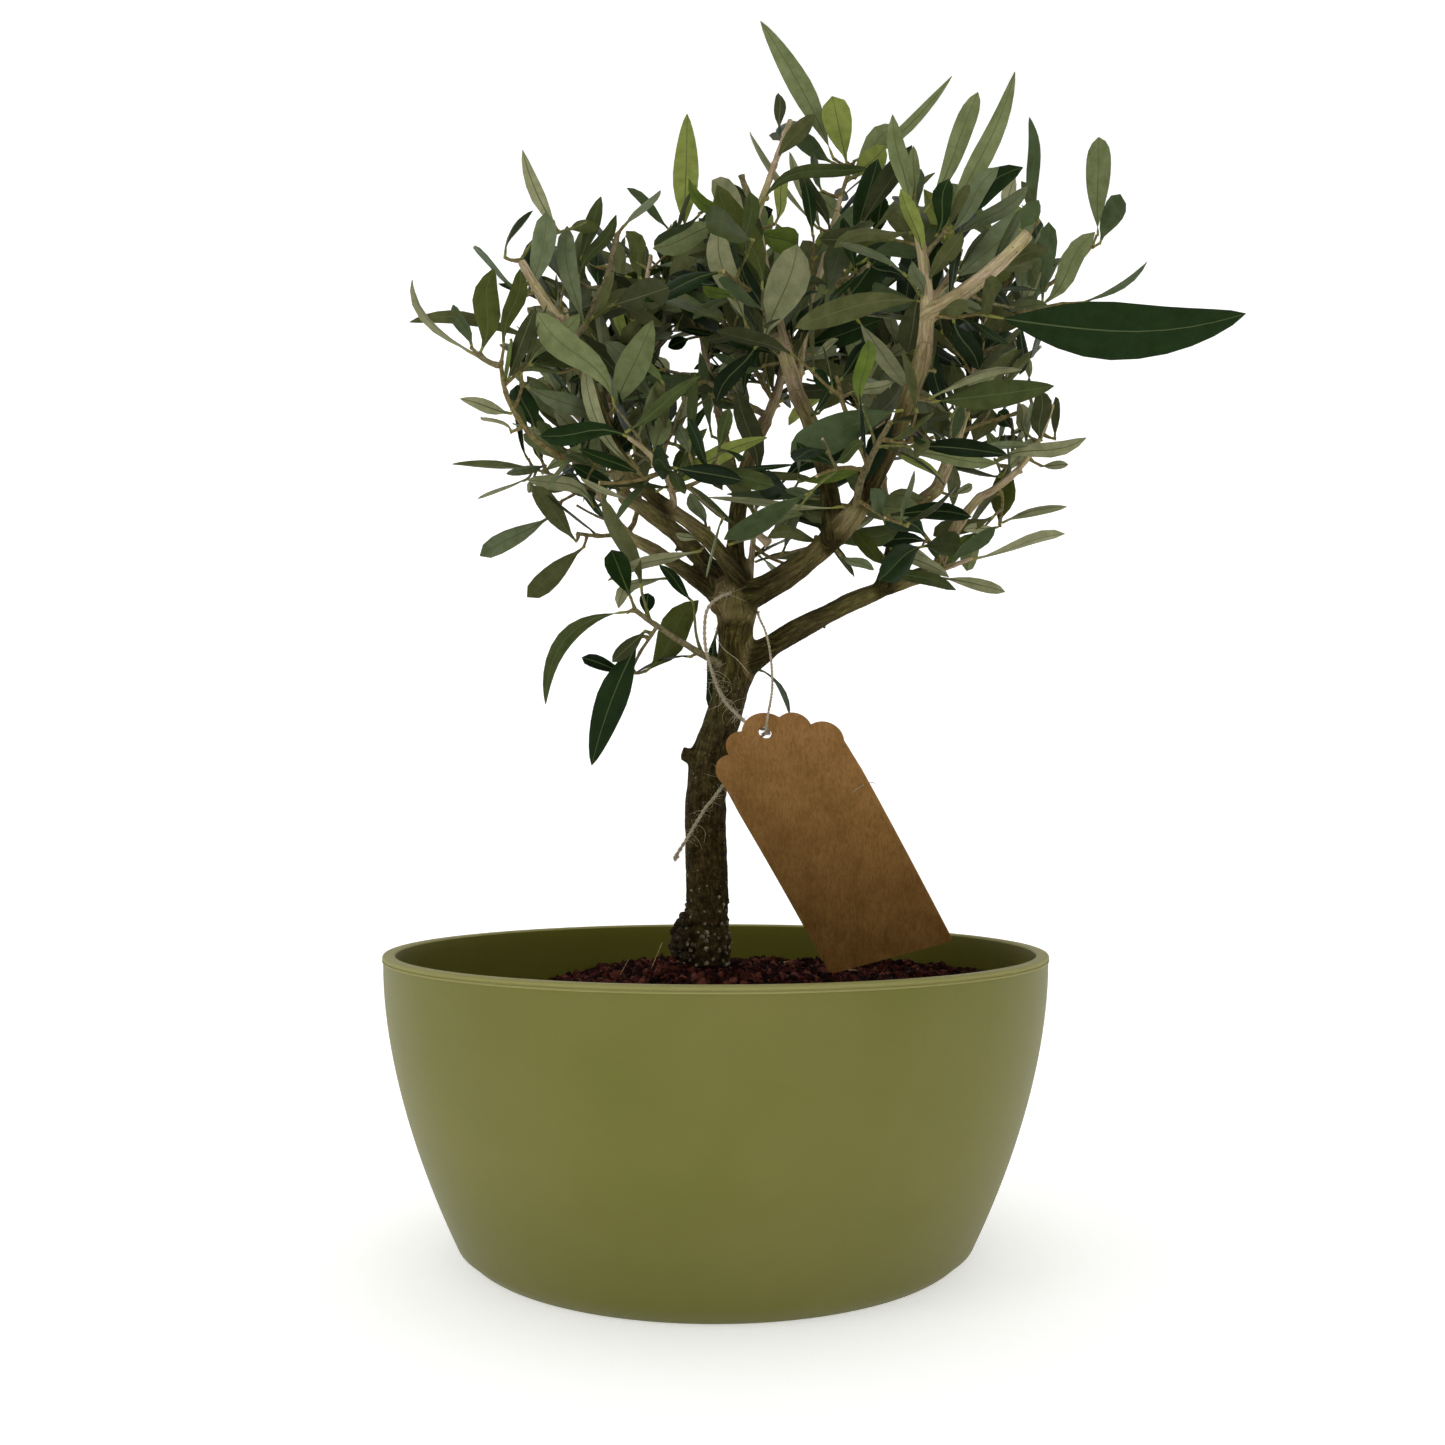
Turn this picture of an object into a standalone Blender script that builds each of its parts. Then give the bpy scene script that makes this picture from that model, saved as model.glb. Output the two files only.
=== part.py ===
"""Young olive trained as a bonsai, in a round plastic bowl, with a kraft gift tag.

The origin is on the ground under the middle of the pot, +Z is up and the tree's
front faces -Y. Named sizes are in millimetres and degrees; MM turns them to metres.
"""
import math
import random

import bmesh
import bpy
from mathutils import Matrix, Vector
from mathutils.bvhtree import BVHTree

MM = 0.001
CLEAR = 0.3              # gap kept between neighbouring solids

# pot: a thin moulded bowl with a turned lip
POT_TOP = 109.3
POT_RIM = 125.0          # outer radius of the lip
POT_WALL_TOP = 124.6     # outer radius of the wall, just under the lip
POT_FOOT = 91.2          # radius of the flat underside
POT_BELLY = 30.0         # how much the wall draws in towards the foot
POT_CURVE = 1.75         # how soon it draws in
POT_LIP = 3.3            # height of the lip
POT_LIP_IN = 120.4       # inner radius of the lip
POT_WALL = 2.4
POT_FLOOR = 3.0
POT_SIDES = 36
POT_STEPS = 6

# soil: radius and height of the surface, with a low mound at the trunk, lumps about
# 23 mm apart and a small heap at the tag's foot (x, y, height, reach)
SOIL_RISE = [(16, 102.0), (25, 100.2), (38, 97.2), (50, 95.9), (63, 95.3), (77, 95.1), (91, 94.9), (106, 94.8)]
SOIL_LUMP = 1.1
SOIL_HEAP = (46.0, 20.0, 0.9, 15.0)

# trunk: height, sideways lean, radius
TRUNK = [
    (102.3, -5.0, 11.6), (106, -4.8, 11.0), (112, -4.3, 10.4), (119, -4.0, 9.3), (127, -3.5, 8.0),
    (140, -3.9, 7.8), (154, -4.4, 7.7), (168, -4.2, 7.8), (180, -2.8, 7.8), (190, -0.4, 7.7),
    (199, 2.8, 7.4), (208, 5.2, 7.0), (217, 6.7, 7.3), (226, 7.3, 6.7), (235, 7.6, 7.2),
    (241, 7.8, 8.6), (246, 7.8, 8.9), (250, 7.8, 7.6), (253, 7.8, 4.6),
]
TRUNK_SIDES = 14
# knots on the trunk: height, azimuth, how far it stands out, half height, half width
KNOTS = [(113, 190, 4.6, 8, 45), (108, 20, 1.8, 6, 35), (184, 182, 3.8, 3.4, 32), (217, 20, 1.6, 7, 40)]

# limbs: what they spring from, start, then azimuth, rise, length, turn, lift and the two
# radii; a limb with no start of its own goes on from its parent's tip
LIMBS = {
    "boughLeft": dict(on="trunk", start=(4, 3, 243.5), grow=(144, 39, 62, -8, -13, 3.6, 2.4)),
    "boughBackLeft": dict(on="trunk", start=(5, 3, 247.5), grow=(127, 46, 83, 13, -17, 4.3, 3.3)),
    "boughFrontLeft": dict(on="trunk", start=(10.5, -2.5, 247), grow=(-130, 54, 45, -24, -30, 4.4, 3.9)),
    "boughFrontLeftMid": dict(on="boughFrontLeft", grow=(-152, 25, 31, 4, 28, 3.8, 3.7)),
    "boughFrontLeftRise": dict(on="boughFrontLeftMid", grow=(-152, 62, 43, -18, 12, 3.6, 3.1)),
    "boughLeader": dict(on="trunk", start=(7.8, 3.5, 248), grow=(98, 73, 87, -53, -16, 3.9, 3.0)),
    "boughLeaderSide": dict(on="boughLeader", start=(9.6, 20.4, 289), grow=(109, 58, 60, -4, -3, 2.4, 1.9)),
    "boughRight": dict(on="trunk", start=(11.5, -3, 245), grow=(-31, 16, 58, -10, 26, 5.2, 5.0)),
    "boughRightRise": dict(on="boughRight", grow=(-39, 50, 64, -19, 15, 4.6, 3.3)),
    "boughCentre": dict(on="boughRight", start=(44, -27, 261.5), grow=(90, 78, 67, 64, -16, 4.0, 3.3)),
    "boughLowRight": dict(on="trunk", start=(8.5, 0, 218), grow=(13, 35, 96, 4, -17, 4.9, 3.0)),
    "boughOuterRight": dict(on="boughLowRight", grow=(43, 63, 44, -15, -21, 2.9, 2.0)),
    "boughRightRiser": dict(on="boughLowRight", start=(67.5, 13, 250.5), grow=(60, 72, 62, -26, -40, 3.3, 3.0)),
    "boughCentreRiser": dict(on="boughRightRiser", start=(73.3, 22.5, 273), grow=(103, 49, 61, -22, 11, 2.6, 2.0)),
}

# tag: a kraft card, its foot corner on the soil and its head on the twine
TAG_WIDE = 54.0
TAG_THICK = 0.8
TAG_HOLE = (0.0, 105.2, 2.6)
TAG_FOOT = (68.2, 8.0, 105.2)
TAG_LEAN = (122.0, -16.5, -30.1)
TAG_LOBES = [(19.6, 94.6, 7.4), (11.0, 102.5, 6.8), (0.0, 103.5, 9.7)]

# twine: a loop round the trunk under the fork, two strands to the tag and a loose end
TWINE = 0.9
TWINE_STRANDS = [
    [(0.6, -7.9, 238.6), (-2.6, -9.2, 234), (-4.2, -11, 226), (-2.8, -12, 216), (0.8, -12.6, 207),
     (6, -15, 200.5), (12, -20, 196), (17.5, -23.6, 193), (19.6, -24.8, 191.9)],
    [(14.6, -7.4, 238.6), (18.4, -9.6, 232), (21.0, -12, 222), (21.6, -15, 211), (20.6, -19.5, 203),
     (20.2, -27, 201.5), (19.4, -33.8, 198.2), (18.2, -31.4, 190.6), (18.7, -27.4, 190.4), (19.6, -24.6, 191.9)],
    [(19.6, -24.8, 191.9), (13, -18.5, 185.5), (7, -11.5, 178), (2.2, -7.3, 171), (-1.5, -9.0, 166),
     (-4.6, -10.1, 162), (-10, -11, 153), (-15, -11.5, 145)],
]

# foliage seen from the front: how far the crown reaches from its middle, every 30 degrees
# from the right anticlockwise, and the gaps of sky in it as x, z and two half sizes
EYE = Vector((2.5, -540.0, 158.0))
CROWN_MID = (20.8, 337.0)
CROWN_REACH = [122, 126, 112, 101, 92, 110, 121, 116, 98, 84, 92, 118]
CROWN_DEPTH = 112.0
SKY = [
    (-14, 343, 6, 6), (24, 309, 5, 6), (72, 295, 4, 5), (-51, 275, 6, 5), (130, 337, 5, 7), (-27, 271, 5, 4),
    (28, 246, 8, 6), (44, 252, 6, 4), (30, 393, 5, 6), (-79, 284, 6, 5), (-26, 424, 9, 8), (132, 403, 7, 8),
]

# how leaves fill a shoot: pairs every so many millimetres, each pair a quarter turn on
PAIR_STEP = 8.6
LEAF_LONG = (26.0, 44.0)
LEAF_SLIM = (0.22, 0.31)  # width as a share of length
LEAF_THICK = 0.012        # thickness as a share of length
LEAF_ROOM = 0.35          # space kept round a leaf

# masses of foliage: the limb that each stem springs from; stem is azimuth, rise, length,
# turn, lift and two radii; twigs are share along the stem, azimuth, rise, length, turn,
# lift and radius; leaves that mark the outline are twig (0 the stem), share along it,
# azimuth, rise, length, width and arch. The rest of the leaves follow the filling rule.
MASSES = {
    "foliageLowLeft": dict(
        on="trunk",
        stem=(-154, 23, 42, 0, 9, 1.5, 0.9),
        start=(3, -3.5, 218),
        seed=10,
        twigs=[
            (0.17, 174, -8, 24, -14, -23, 0.7),
            (0.75, 144, -48, 22, -3, -5, 0.7),
        ],
        leaves=[
            (0, 0.75, -116, -55, 66, 15.3, -10),
            (0, 1, -152, -51, 48, 6.6, 95),
            (1, 1, 170, 19, 25, 6.6, 0),
            (2, 1, 11, 41, 43, 13.1, 0),
            (0, 0.92, 150, 63, 26, 8.3, -15),
            (0, 0.75, 79, 56, 15, 6.1, 0),
            (0, 0.67, 69, 55, 26, 5.3, 0),
        ],
    ),
    "foliageLeft": dict(
        on="boughLeft",
        stem=(153, 42, 42, 0, 30, 2.0, 1.1),
        seed=14,
        twigs=[
            (0, -158, -16, 22, -12, 25, 1.0),
            (0.08, 57, 51, 23, 56, 18, 1.3),
            (0.75, -164, -27, 17, 2, -4, 0.8),
            (0.67, 162, 23, 32, 12, -4, 0.8),
        ],
        leaves=[
            (1, 1, -163, -47, 31, 13, 0),
            (3, 1, -165, -36, 39, 9.9, 0),
            (4, 0.92, 180, -22, 25, 3, 0),
            (4, 1, 176, 10, 33, 5.1, 0),
            (3, 1, -53, -45, 28, 10.7, 15),
        ],
    ),
    "foliageLeftOut": dict(
        on="boughFrontLeftMid",
        stem=(-145, -32, 65, -8, 121, 1.2, 0.8),
        seed=5,
        twigs=[
            (0.75, 38, 55, 21, 84, 19, 0.7),
        ],
        leaves=[
            (0, 0.67, 157, 21, 16, 6.2, 0),
            (0, 0.5, 164, 22, 16, 2.8, 0),
            (0, 1, 180, 47, 33, 5.1, -40),
            (0, 1, 146, 61, 22, 6.2, 0),
            (0, 0.92, 87, 71, 43, 9.7, 0),
        ],
    ),
    "foliageLeftTip": dict(
        on="boughFrontLeftRise",
        stem=(-161, 48, 37, 5, 12, 3.0, 1.6),
        seed=7,
        twigs=[
            (0.08, 127, 67, 15, 0, 0, 1.9),
            (0.08, 53, 49, 51, -22, 33, 1.4),
            (1, -1, 68, 17, 22, -25, 0.6),
        ],
        leaves=[
            (0, 0.12, -165, 1, 58, 7, 35),
            (0, 1, 180, 2, 10, 4.9, 0),
            (0, 0.5, -49, 74, 29, 10.6, 0),
            (0, 0.33, 115, 71, 74, 8, 0),
            (2, 0.33, -93, 63, 26, 10.8, 0),
            (2, 0.67, 63, 77, 30, 7.4, 0),
            (2, 0.58, 10, 64, 27, 7.3, 0),
        ],
    ),
    "foliageBackLeft": dict(
        on="boughBackLeft",
        stem=(131, 65, 81, 0, 23, 3.1, 2.5),
        seed=13,
        twigs=[
            (0.5, 17, 49, 92, 23, 40, 1.6),
            (0.58, -24, 60, 68, 0, 21, 1.6),
            (0.33, 155, 35, 47, -2, 18, 1.1),
            (0.5, 73, 47, 59, 10, -1, 1.2),
        ],
        leaves=[
            (1, 0.92, 164, 58, 41, 6.2, 0),
            (2, 0.67, -23, 78, 50, 6, 0),
        ],
    ),
    "foliageFrontLeft": dict(
        on="boughFrontLeft",
        stem=(-83, 35, 41, -68, -10, 1.6, 1.0),
        seed=5,
        twigs=[
            (0.25, -51, -7, 26, 13, 41, 0.9),
            (0.5, -149, -29, 27, -1, 26, 0.9),
            (0.58, 55, 61, 33, 5, 2, 0.9),
        ],
        leaves=[
            (0, 0.58, -169, 57, 37, 9.9, 0),
            (0, 1, -34, 54, 37, 16.5, 0),
            (0, 0.08, -11, 23, 46, 9.5, 15),
            (0, 0.83, -7, 34, 41, 8.4, 10),
        ],
    ),
    "foliageLeaderSide": dict(
        on="boughLeaderSide",
        stem=(118, 64, 57, 0, 10, 1.9, 1.1),
        seed=5,
        twigs=[
            (0.25, 34, 35, 63, 9, 57, 1.2),
            (0.08, -159, 43, 25, -11, -38, 1.0),
            (0.33, 95, 42, 51, 5, 2, 1.1),
        ],
        leaves=[
            (0, 1, 128, 85, 88, 12.4, -6),
            (0, 0.83, -74, 59, 49, 6.9, 0),
        ],
    ),
    "foliageLeader": dict(
        on="boughLeader",
        stem=(42, 58, 48, 5, 28, 2.6, 1.2),
        seed=3,
        twigs=[
            (0.08, -178, 28, 31, 18, -4, 1.4),
            (0.25, -158, 57, 39, 14, -13, 1.2),
            (0.58, 38, 46, 43, 8, 19, 1.1),
        ],
        leaves=[
            (0, 1, -121, 66, 39, 10.9, 0),
            (3, 1, 24, 56, 35, 20.1, 0),
        ],
    ),
    "foliageCentre": dict(
        on="boughCentre",
        stem=(164, 74, 77, 60, 4, 3.3, 2.2),
        seed=11,
        twigs=[
            (0.83, -152, 23, 25, -4, 44, 1.7),
            (1, -176, 69, 12, 43, -4, 1.5),
            (0.92, 37, 69, 50, 1, -1, 1.6),
            (0.33, -117, -14, 26, 5, -26, 0.9),
            (0.5, -115, -9, 45, -1, 8, 1.1),
        ],
        leaves=[
            (3, 0.75, 180, 66, 19, 3.1, 0),
            (2, 0.42, -170, 9, 23, 8.4, 0),
            (3, 0.25, 132, 75, 31, 5.4, 0),
            (4, 0.75, -37, 64, 37, 19.2, 0),
            (0, 0.67, -149, 43, 27, 9.1, 0),
        ],
    ),
    "foliageCentreTop": dict(
        on="boughCentre",
        stem=(86, 64, 96, -84, 13, 2.0, 1.2),
        seed=6,
        twigs=[
            (0.92, 23, 75, 25, 34, -14, 1.0),
            (0.75, 35, 51, 36, -5, -30, 1.0),
            (0.58, -70, -20, 58, -9, 11, 1.1),
        ],
        leaves=[
            (1, 0.67, -170, 61, 74, 10.8, 0),
            (1, 0.75, 143, 79, 37, 12.2, 0),
            (1, 1, 8, 44, 62, 6.5, -40),
            (0, 1, -77, 57, 27, 5.6, 0),
            (1, 0.75, -156, -25, 38, 7.2, 20),
            (2, 0.83, 20, 67, 45, 9.1, 0),
        ],
    ),
    "foliageRightTop": dict(
        on="boughRightRise",
        stem=(-42, 81, 49, -171, -1, 3.0, 1.7),
        seed=6,
        twigs=[
            (0.25, -32, 17, 44, -7, 21, 3.3),
            (0.33, 25, 42, 29, 15, 28, 1.8),
            (0.67, -19, 41, 12, -10, 7, 1.1),
            (0.25, -33, -20, 21, -8, 18, 0.9),
        ],
        leaves=[
            (0, 1, 168, 76, 38, 7.6, 0),
            (0, 1, -11, 64, 46, 9.6, 8),
            (3, 0.83, 5, 68, 65, 8.2, 8),
            (3, 1, -22, 50, 26, 7.5, 10),
            (0, 0.92, 33, 53, 30, 7.6, 0),
            (4, 1, -17, -8, 86, 22.5, -18),
            (0, 0.42, 125, -40, 22, 15.4, 0),
        ],
    ),
    "foliageRight": dict(
        on="boughRightRiser",
        stem=(27, 63, 87, 5, 16, 3.0, 1.5),
        seed=2,
        twigs=[
            (0.92, 13, 61, 54, -3, 4, 1.2),
            (1, 15, 18, 62, -6, 31, 1.1),
            (0.92, -18, 21, 44, 7, -24, 0.9),
            (0.75, -2, 36, 17, -19, -35, 1.5),
            (0.33, 33, 24, 42, -17, -6, 1.1),
            (0.58, 84, 46, 58, 3, 3, 1.2),
            (0.17, 125, 44, 40, 1, -1, 1.1),
        ],
        leaves=[
            (1, 1, 123, 85, 50, 6.9, 0),
            (2, 1, 44, 84, 51, 11.4, 0),
            (2, 1, -20, 57, 22, 11.3, 50),
            (3, 0.58, -21, 50, 35, 10.9, 0),
            (3, 1, 0, 32, 30, 5, 0),
            (5, 0.58, -162, 7, 33, 6, 0),
            (5, 0.42, -26, 22, 29, 15.2, 15),
            (5, 1, -23, 69, 28, 9.5, 0),
        ],
    ),
    "foliageOuter": dict(
        on="boughOuterRight",
        stem=(23, 26, 59, -5, 48, 1.9, 0.9),
        seed=0,
        twigs=[
            (0.17, 50, -29, 21, 58, -28, 0.8),
            (0.25, 54, 49, 43, 38, 7, 1.0),
        ],
        leaves=[
            (0, 0.42, -18, 20, 27, 8.4, 10),
            (0, 0.5, 7, -8, 17, 5.1, 0),
            (1, 1, -8, 13, 28, 6, 10),
            (0, 0.25, -121, -63, 21, 10.8, 0),
            (0, 0.75, 132, 73, 27, 13.6, 0),
        ],
    ),
    "foliageLowRight": dict(
        on="boughLowRight",
        stem=(-49, 4, 17, 25, 14, 1.6, 0.8),
        seed=9,
        twigs=[
            (0.25, -125, 37, 32, -1, -24, 0.8),
        ],
        leaves=[
            (0, 1, -13, 12, 35, 4.7, 0),
            (0, 0.33, -32, -30, 26, 5.2, 10),
            (0, 0.17, -148, 16, 27, 6.8, 0),
            (0, 0.25, -147, 2, 41, 10.3, -20),
        ],
    ),
    "foliageFrontRight": dict(
        on="boughRight",
        stem=(-96, 25, 44, 44, 17, 1.5, 0.9),
        seed=14,
        twigs=[
            (0.5, -139, 5, 25, -2, -38, 0.8),
            (0.83, -35, -25, 21, 0, 35, 0.8),
            (0.17, -42, -38, 25, 6, 14, 0.8),
            (0.58, 143, 64, 40, -36, 0, 1.0),
        ],
        leaves=[
            (0, 1, -162, -17, 41, 12.1, 10),
            (0, 0.92, 99, 76, 42, 9, 0),
            (2, 1, -17, -20, 23, 5.7, 0),
        ],
    ),
    "foliageCentreBack": dict(
        on="boughCentreRiser",
        stem=(83, 70, 53, -27, 3, 2.0, 1.2),
        seed=1,
        twigs=[
            (0.17, 138, 37, 41, -3, 30, 1.1),
            (0.58, 45, 30, 44, 11, 42, 1.1),
            (0.08, 67, 34, 58, 28, 8, 1.1),
        ],
        leaves=[
        ],
    ),
    "foliageLowCentre": dict(
        on="trunk",
        stem=(75, 75, 49, -22, 8, 1.6, 0.8),
        start=(13, 4, 248),
        seed=5,
        twigs=[
            (0.42, -26, -41, 19, -8, 20, 0.8),
            (0.67, -35, 13, 39, 12, -26, 0.8),
        ],
        leaves=[
            (2, 1, -165, 0, 53, 4.9, 0),
            (0, 0.42, -17, 28, 23, 7.1, 12),
            (0, 0.58, 15, -13, 32, 6.4, 0),
            (1, 0.58, -6, -12, 41, 7.8, 12),
            (0, 0.33, -156, -15, 61, 6.6, 22),
        ],
    ),
}


def rad(degrees):
    return math.radians(degrees)


def heading(azimuth, rise):
    """Unit vector from an azimuth round Z and a rise above the level."""
    return Vector((
        math.cos(rad(rise)) * math.cos(rad(azimuth)),
        math.cos(rad(rise)) * math.sin(rad(azimuth)),
        math.sin(rad(rise)),
    ))


def arc(start, azimuth, rise, length, turn, lift, steps):
    """A path that turns and lifts evenly along its length."""
    path = [Vector(start)]
    for k in range(steps):
        t = (k + 0.5) / steps
        path.append(path[-1] + heading(azimuth + turn * t, rise + lift * t) * (length / steps))
    return path


def along(path, t):
    """Point and direction at share t of a path."""
    k = min(int(t * (len(path) - 1)), len(path) - 2)
    u = t * (len(path) - 1) - k
    return path[k].lerp(path[k + 1], u), (path[k + 1] - path[k]).normalized()


def tube(path, radii, sides, grow=0.0):
    """Closed tube with flat ends; grow swells it and pushes its ends out."""
    points = [Vector(p) for p in path]
    ahead = [(b - a).normalized() for a, b in zip(points, points[1:])]
    tangents = [ahead[0]] + [(a + b).normalized() for a, b in zip(ahead, ahead[1:])] + [ahead[-1]]
    if grow:
        points[0] = points[0] - tangents[0] * grow
        points[-1] = points[-1] + tangents[-1] * grow
    side = tangents[0].orthogonal().normalized()
    verts, faces = [], []
    for point, tangent, radius in zip(points, tangents, radii):
        side = (side - tangent * side.dot(tangent)).normalized()
        up = tangent.cross(side)
        for k in range(sides):
            a = 2 * math.pi * k / sides
            verts.append(point + (side * math.cos(a) + up * math.sin(a)) * (radius + grow))
    rings = len(points)
    for i in range(rings - 1):
        for k in range(sides):
            a, b = i * sides + k, i * sides + (k + 1) % sides
            faces.append((a, b, b + sides, a + sides))
    faces.append(tuple(reversed(range(sides))))
    faces.append(tuple(range((rings - 1) * sides, rings * sides)))
    return verts, faces


def taper(r0, r1, count):
    return [r0 + (r1 - r0) * k / (count - 1) for k in range(count)]


def leaf(root, azimuth, rise, length, width, arch, across, grow=0.0):
    """Lance-shaped leaf with a keel under its midrib, closed; across is its side."""
    path = arc(root, azimuth, rise + arch / 2, length, 0, -arch, 6)
    thick = max(LEAF_THICK * length, 0.45) + grow
    verts = [path[0]]
    for t, half in ((0.27, 0.42 * width), (0.68, 0.5 * width)):
        point, tangent = along(path, t)
        side = (across - tangent * across.dot(tangent)).normalized()
        face = side.cross(tangent)
        half += grow
        verts += [point - side * half + face * grow, point + side * half + face * grow, point - face * thick]
    verts.append(path[-1] + (path[-1] - path[-2]).normalized() * grow)
    faces = []
    for k in range(3):
        m = (k + 1) % 3
        faces.append((0, 1 + k, 1 + m))
        faces.append((1 + k, 4 + k, 4 + m, 1 + m))
        faces.append((4 + k, 7, 4 + m))
    return verts, faces


def tree(shape):
    return BVHTree.FromPolygons([tuple(v) for v in shape[0]], shape[1], epsilon=0.0)


def join(shapes):
    verts, faces = [], []
    for v, f in shapes:
        base = len(verts)
        verts += v
        faces += [tuple(i + base for i in face) for face in f]
    return verts, faces


def material(name, color, roughness, metallic=0.0):
    mat = bpy.data.materials.new(name)
    mat.use_nodes = True
    bsdf = mat.node_tree.nodes["Principled BSDF"]
    bsdf.inputs["Base Color"].default_value = (*color, 1)
    bsdf.inputs["Roughness"].default_value = roughness
    bsdf.inputs["Metallic"].default_value = metallic
    mat.diffuse_color = (*color, 1)
    return mat


def add(name, shape, mat=None):
    """New object from a shape in millimetres, faces turned outwards."""
    mesh = bpy.data.meshes.new(name)
    mesh.from_pydata([tuple(v * MM for v in vert) for vert in shape[0]], [], shape[1])
    bm = bmesh.new()
    bm.from_mesh(mesh)
    bmesh.ops.recalc_face_normals(bm, faces=bm.faces)
    bm.to_mesh(mesh)
    bm.free()
    obj = bpy.data.objects.new(name, mesh)
    bpy.context.scene.collection.objects.link(obj)
    if mat:
        mesh.materials.append(mat)
    return obj


def bake(obj):
    """Apply an object's modifiers."""
    bpy.context.view_layer.update()
    graph = bpy.context.evaluated_depsgraph_get()
    mesh = bpy.data.meshes.new_from_object(obj.evaluated_get(graph))
    old = obj.data
    obj.modifiers.clear()
    obj.data = mesh
    bpy.data.meshes.remove(old)
    mesh.name = obj.name


def cut(obj, cutter):
    mod = obj.modifiers.new("cut", "BOOLEAN")
    mod.operation = "DIFFERENCE"
    mod.solver = "EXACT"
    mod.object = cutter
    bake(obj)
    bpy.data.objects.remove(cutter)


def fuse(obj, pieces, solver="EXACT"):
    """Union an object with the closed pieces of a collection, which then go."""
    group = bpy.data.collections.new(obj.name + "Pieces")
    bpy.context.scene.collection.children.link(group)
    for piece in pieces:
        bpy.context.scene.collection.objects.unlink(piece)
        group.objects.link(piece)
    mod = obj.modifiers.new("fuse", "BOOLEAN")
    mod.operation = "UNION"
    mod.solver = solver
    mod.operand_type = "COLLECTION"
    mod.collection = group
    bake(obj)
    for piece in pieces:
        bpy.data.objects.remove(piece)
    bpy.data.collections.remove(group)


def keep_largest(obj):
    """Drop loose scraps and sealed hollows: only the biggest shell stays."""
    bm = bmesh.new()
    bm.from_mesh(obj.data)
    bmesh.ops.triangulate(bm, faces=bm.faces)
    bm.faces.ensure_lookup_table()
    seen, shells = set(), []
    for seed in bm.faces:
        if seed.index in seen:
            continue
        shell, stack = [], [seed]
        seen.add(seed.index)
        while stack:
            face = stack.pop()
            shell.append(face)
            for edge in face.edges:
                if len(edge.link_faces) != 2:
                    continue
                for other in edge.link_faces:
                    if other.index not in seen:
                        seen.add(other.index)
                        stack.append(other)
        shells.append(shell)

    def volume(shell):
        return sum(f.verts[0].co.dot(f.verts[1].co.cross(f.verts[2].co)) for f in shell)

    best = max(shells, key=volume)
    spare = [f for shell in shells if shell is not best for f in shell]
    bmesh.ops.delete(bm, geom=spare, context="FACES")
    loose = [v for v in bm.verts if not v.link_faces]
    bmesh.ops.delete(bm, geom=loose, context="VERTS")
    bm.to_mesh(obj.data)
    bm.free()


def turned(profile, sides):
    """Solid of revolution of a closed profile that starts and ends on the axis."""
    verts, faces = [], []
    rings = profile[1:-1]
    for r, z in rings:
        for k in range(sides):
            a = 2 * math.pi * k / sides
            verts.append(Vector((r * math.cos(a), r * math.sin(a), z)))
    first, last = len(verts), len(verts) + 1
    verts += [Vector((0, 0, profile[0][1])), Vector((0, 0, profile[-1][1]))]
    for k in range(sides):
        m = (k + 1) % sides
        faces.append((first, m, k))
        for i in range(len(rings) - 1):
            faces.append((i * sides + k, i * sides + m, (i + 1) * sides + m, (i + 1) * sides + k))
        i = (len(rings) - 1) * sides
        faces.append((last, i + k, i + m))
    return verts, faces


def pot_radius(z):
    """Outer radius of the bowl's wall at a height."""
    return POT_WALL_TOP - POT_BELLY * (1 - z / (POT_TOP - POT_LIP)) ** POT_CURVE


def pot_inner(z):
    return min(pot_radius(z) - POT_WALL, POT_LIP_IN - 0.5)


def build_pot(mat):
    lip = POT_TOP - POT_LIP
    profile = [(0, 0), (POT_FOOT - 3.5, 0), (POT_FOOT, 0.3), (POT_FOOT + 2.4, 1.6), (pot_radius(4.6), 4.6)]
    rises = [4.6 + (lip - 4.6) * (k / POT_STEPS) ** 1.2 for k in range(1, POT_STEPS + 1)]
    profile += [(pot_radius(z), z) for z in rises]
    profile += [(POT_RIM, lip + 0.25), (POT_RIM, POT_TOP - 0.7), (POT_RIM - 0.7, POT_TOP)]
    profile += [(POT_LIP_IN, POT_TOP), (POT_LIP_IN - 0.5, POT_TOP - 4.0)]
    top, foot = 84.0, POT_FLOOR + 4
    profile += [(pot_inner(z), z) for z in [top - (top - foot) * k / 4 for k in range(5)]]
    profile += [(pot_inner(POT_FLOOR + 4) - 3.5, POT_FLOOR), (0, POT_FLOOR)]
    return add("pot", turned(profile, POT_SIDES), mat)


def soil_top(r):
    """Height of the soil at a distance from the trunk's foot."""
    if r <= SOIL_RISE[0][0]:
        return SOIL_RISE[0][1]
    for (r0, z0), (r1, z1) in zip(SOIL_RISE, SOIL_RISE[1:]):
        if r <= r1:
            return z0 + (z1 - z0) * (r - r0) / (r1 - r0)
    return SOIL_RISE[-1][1]


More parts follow.
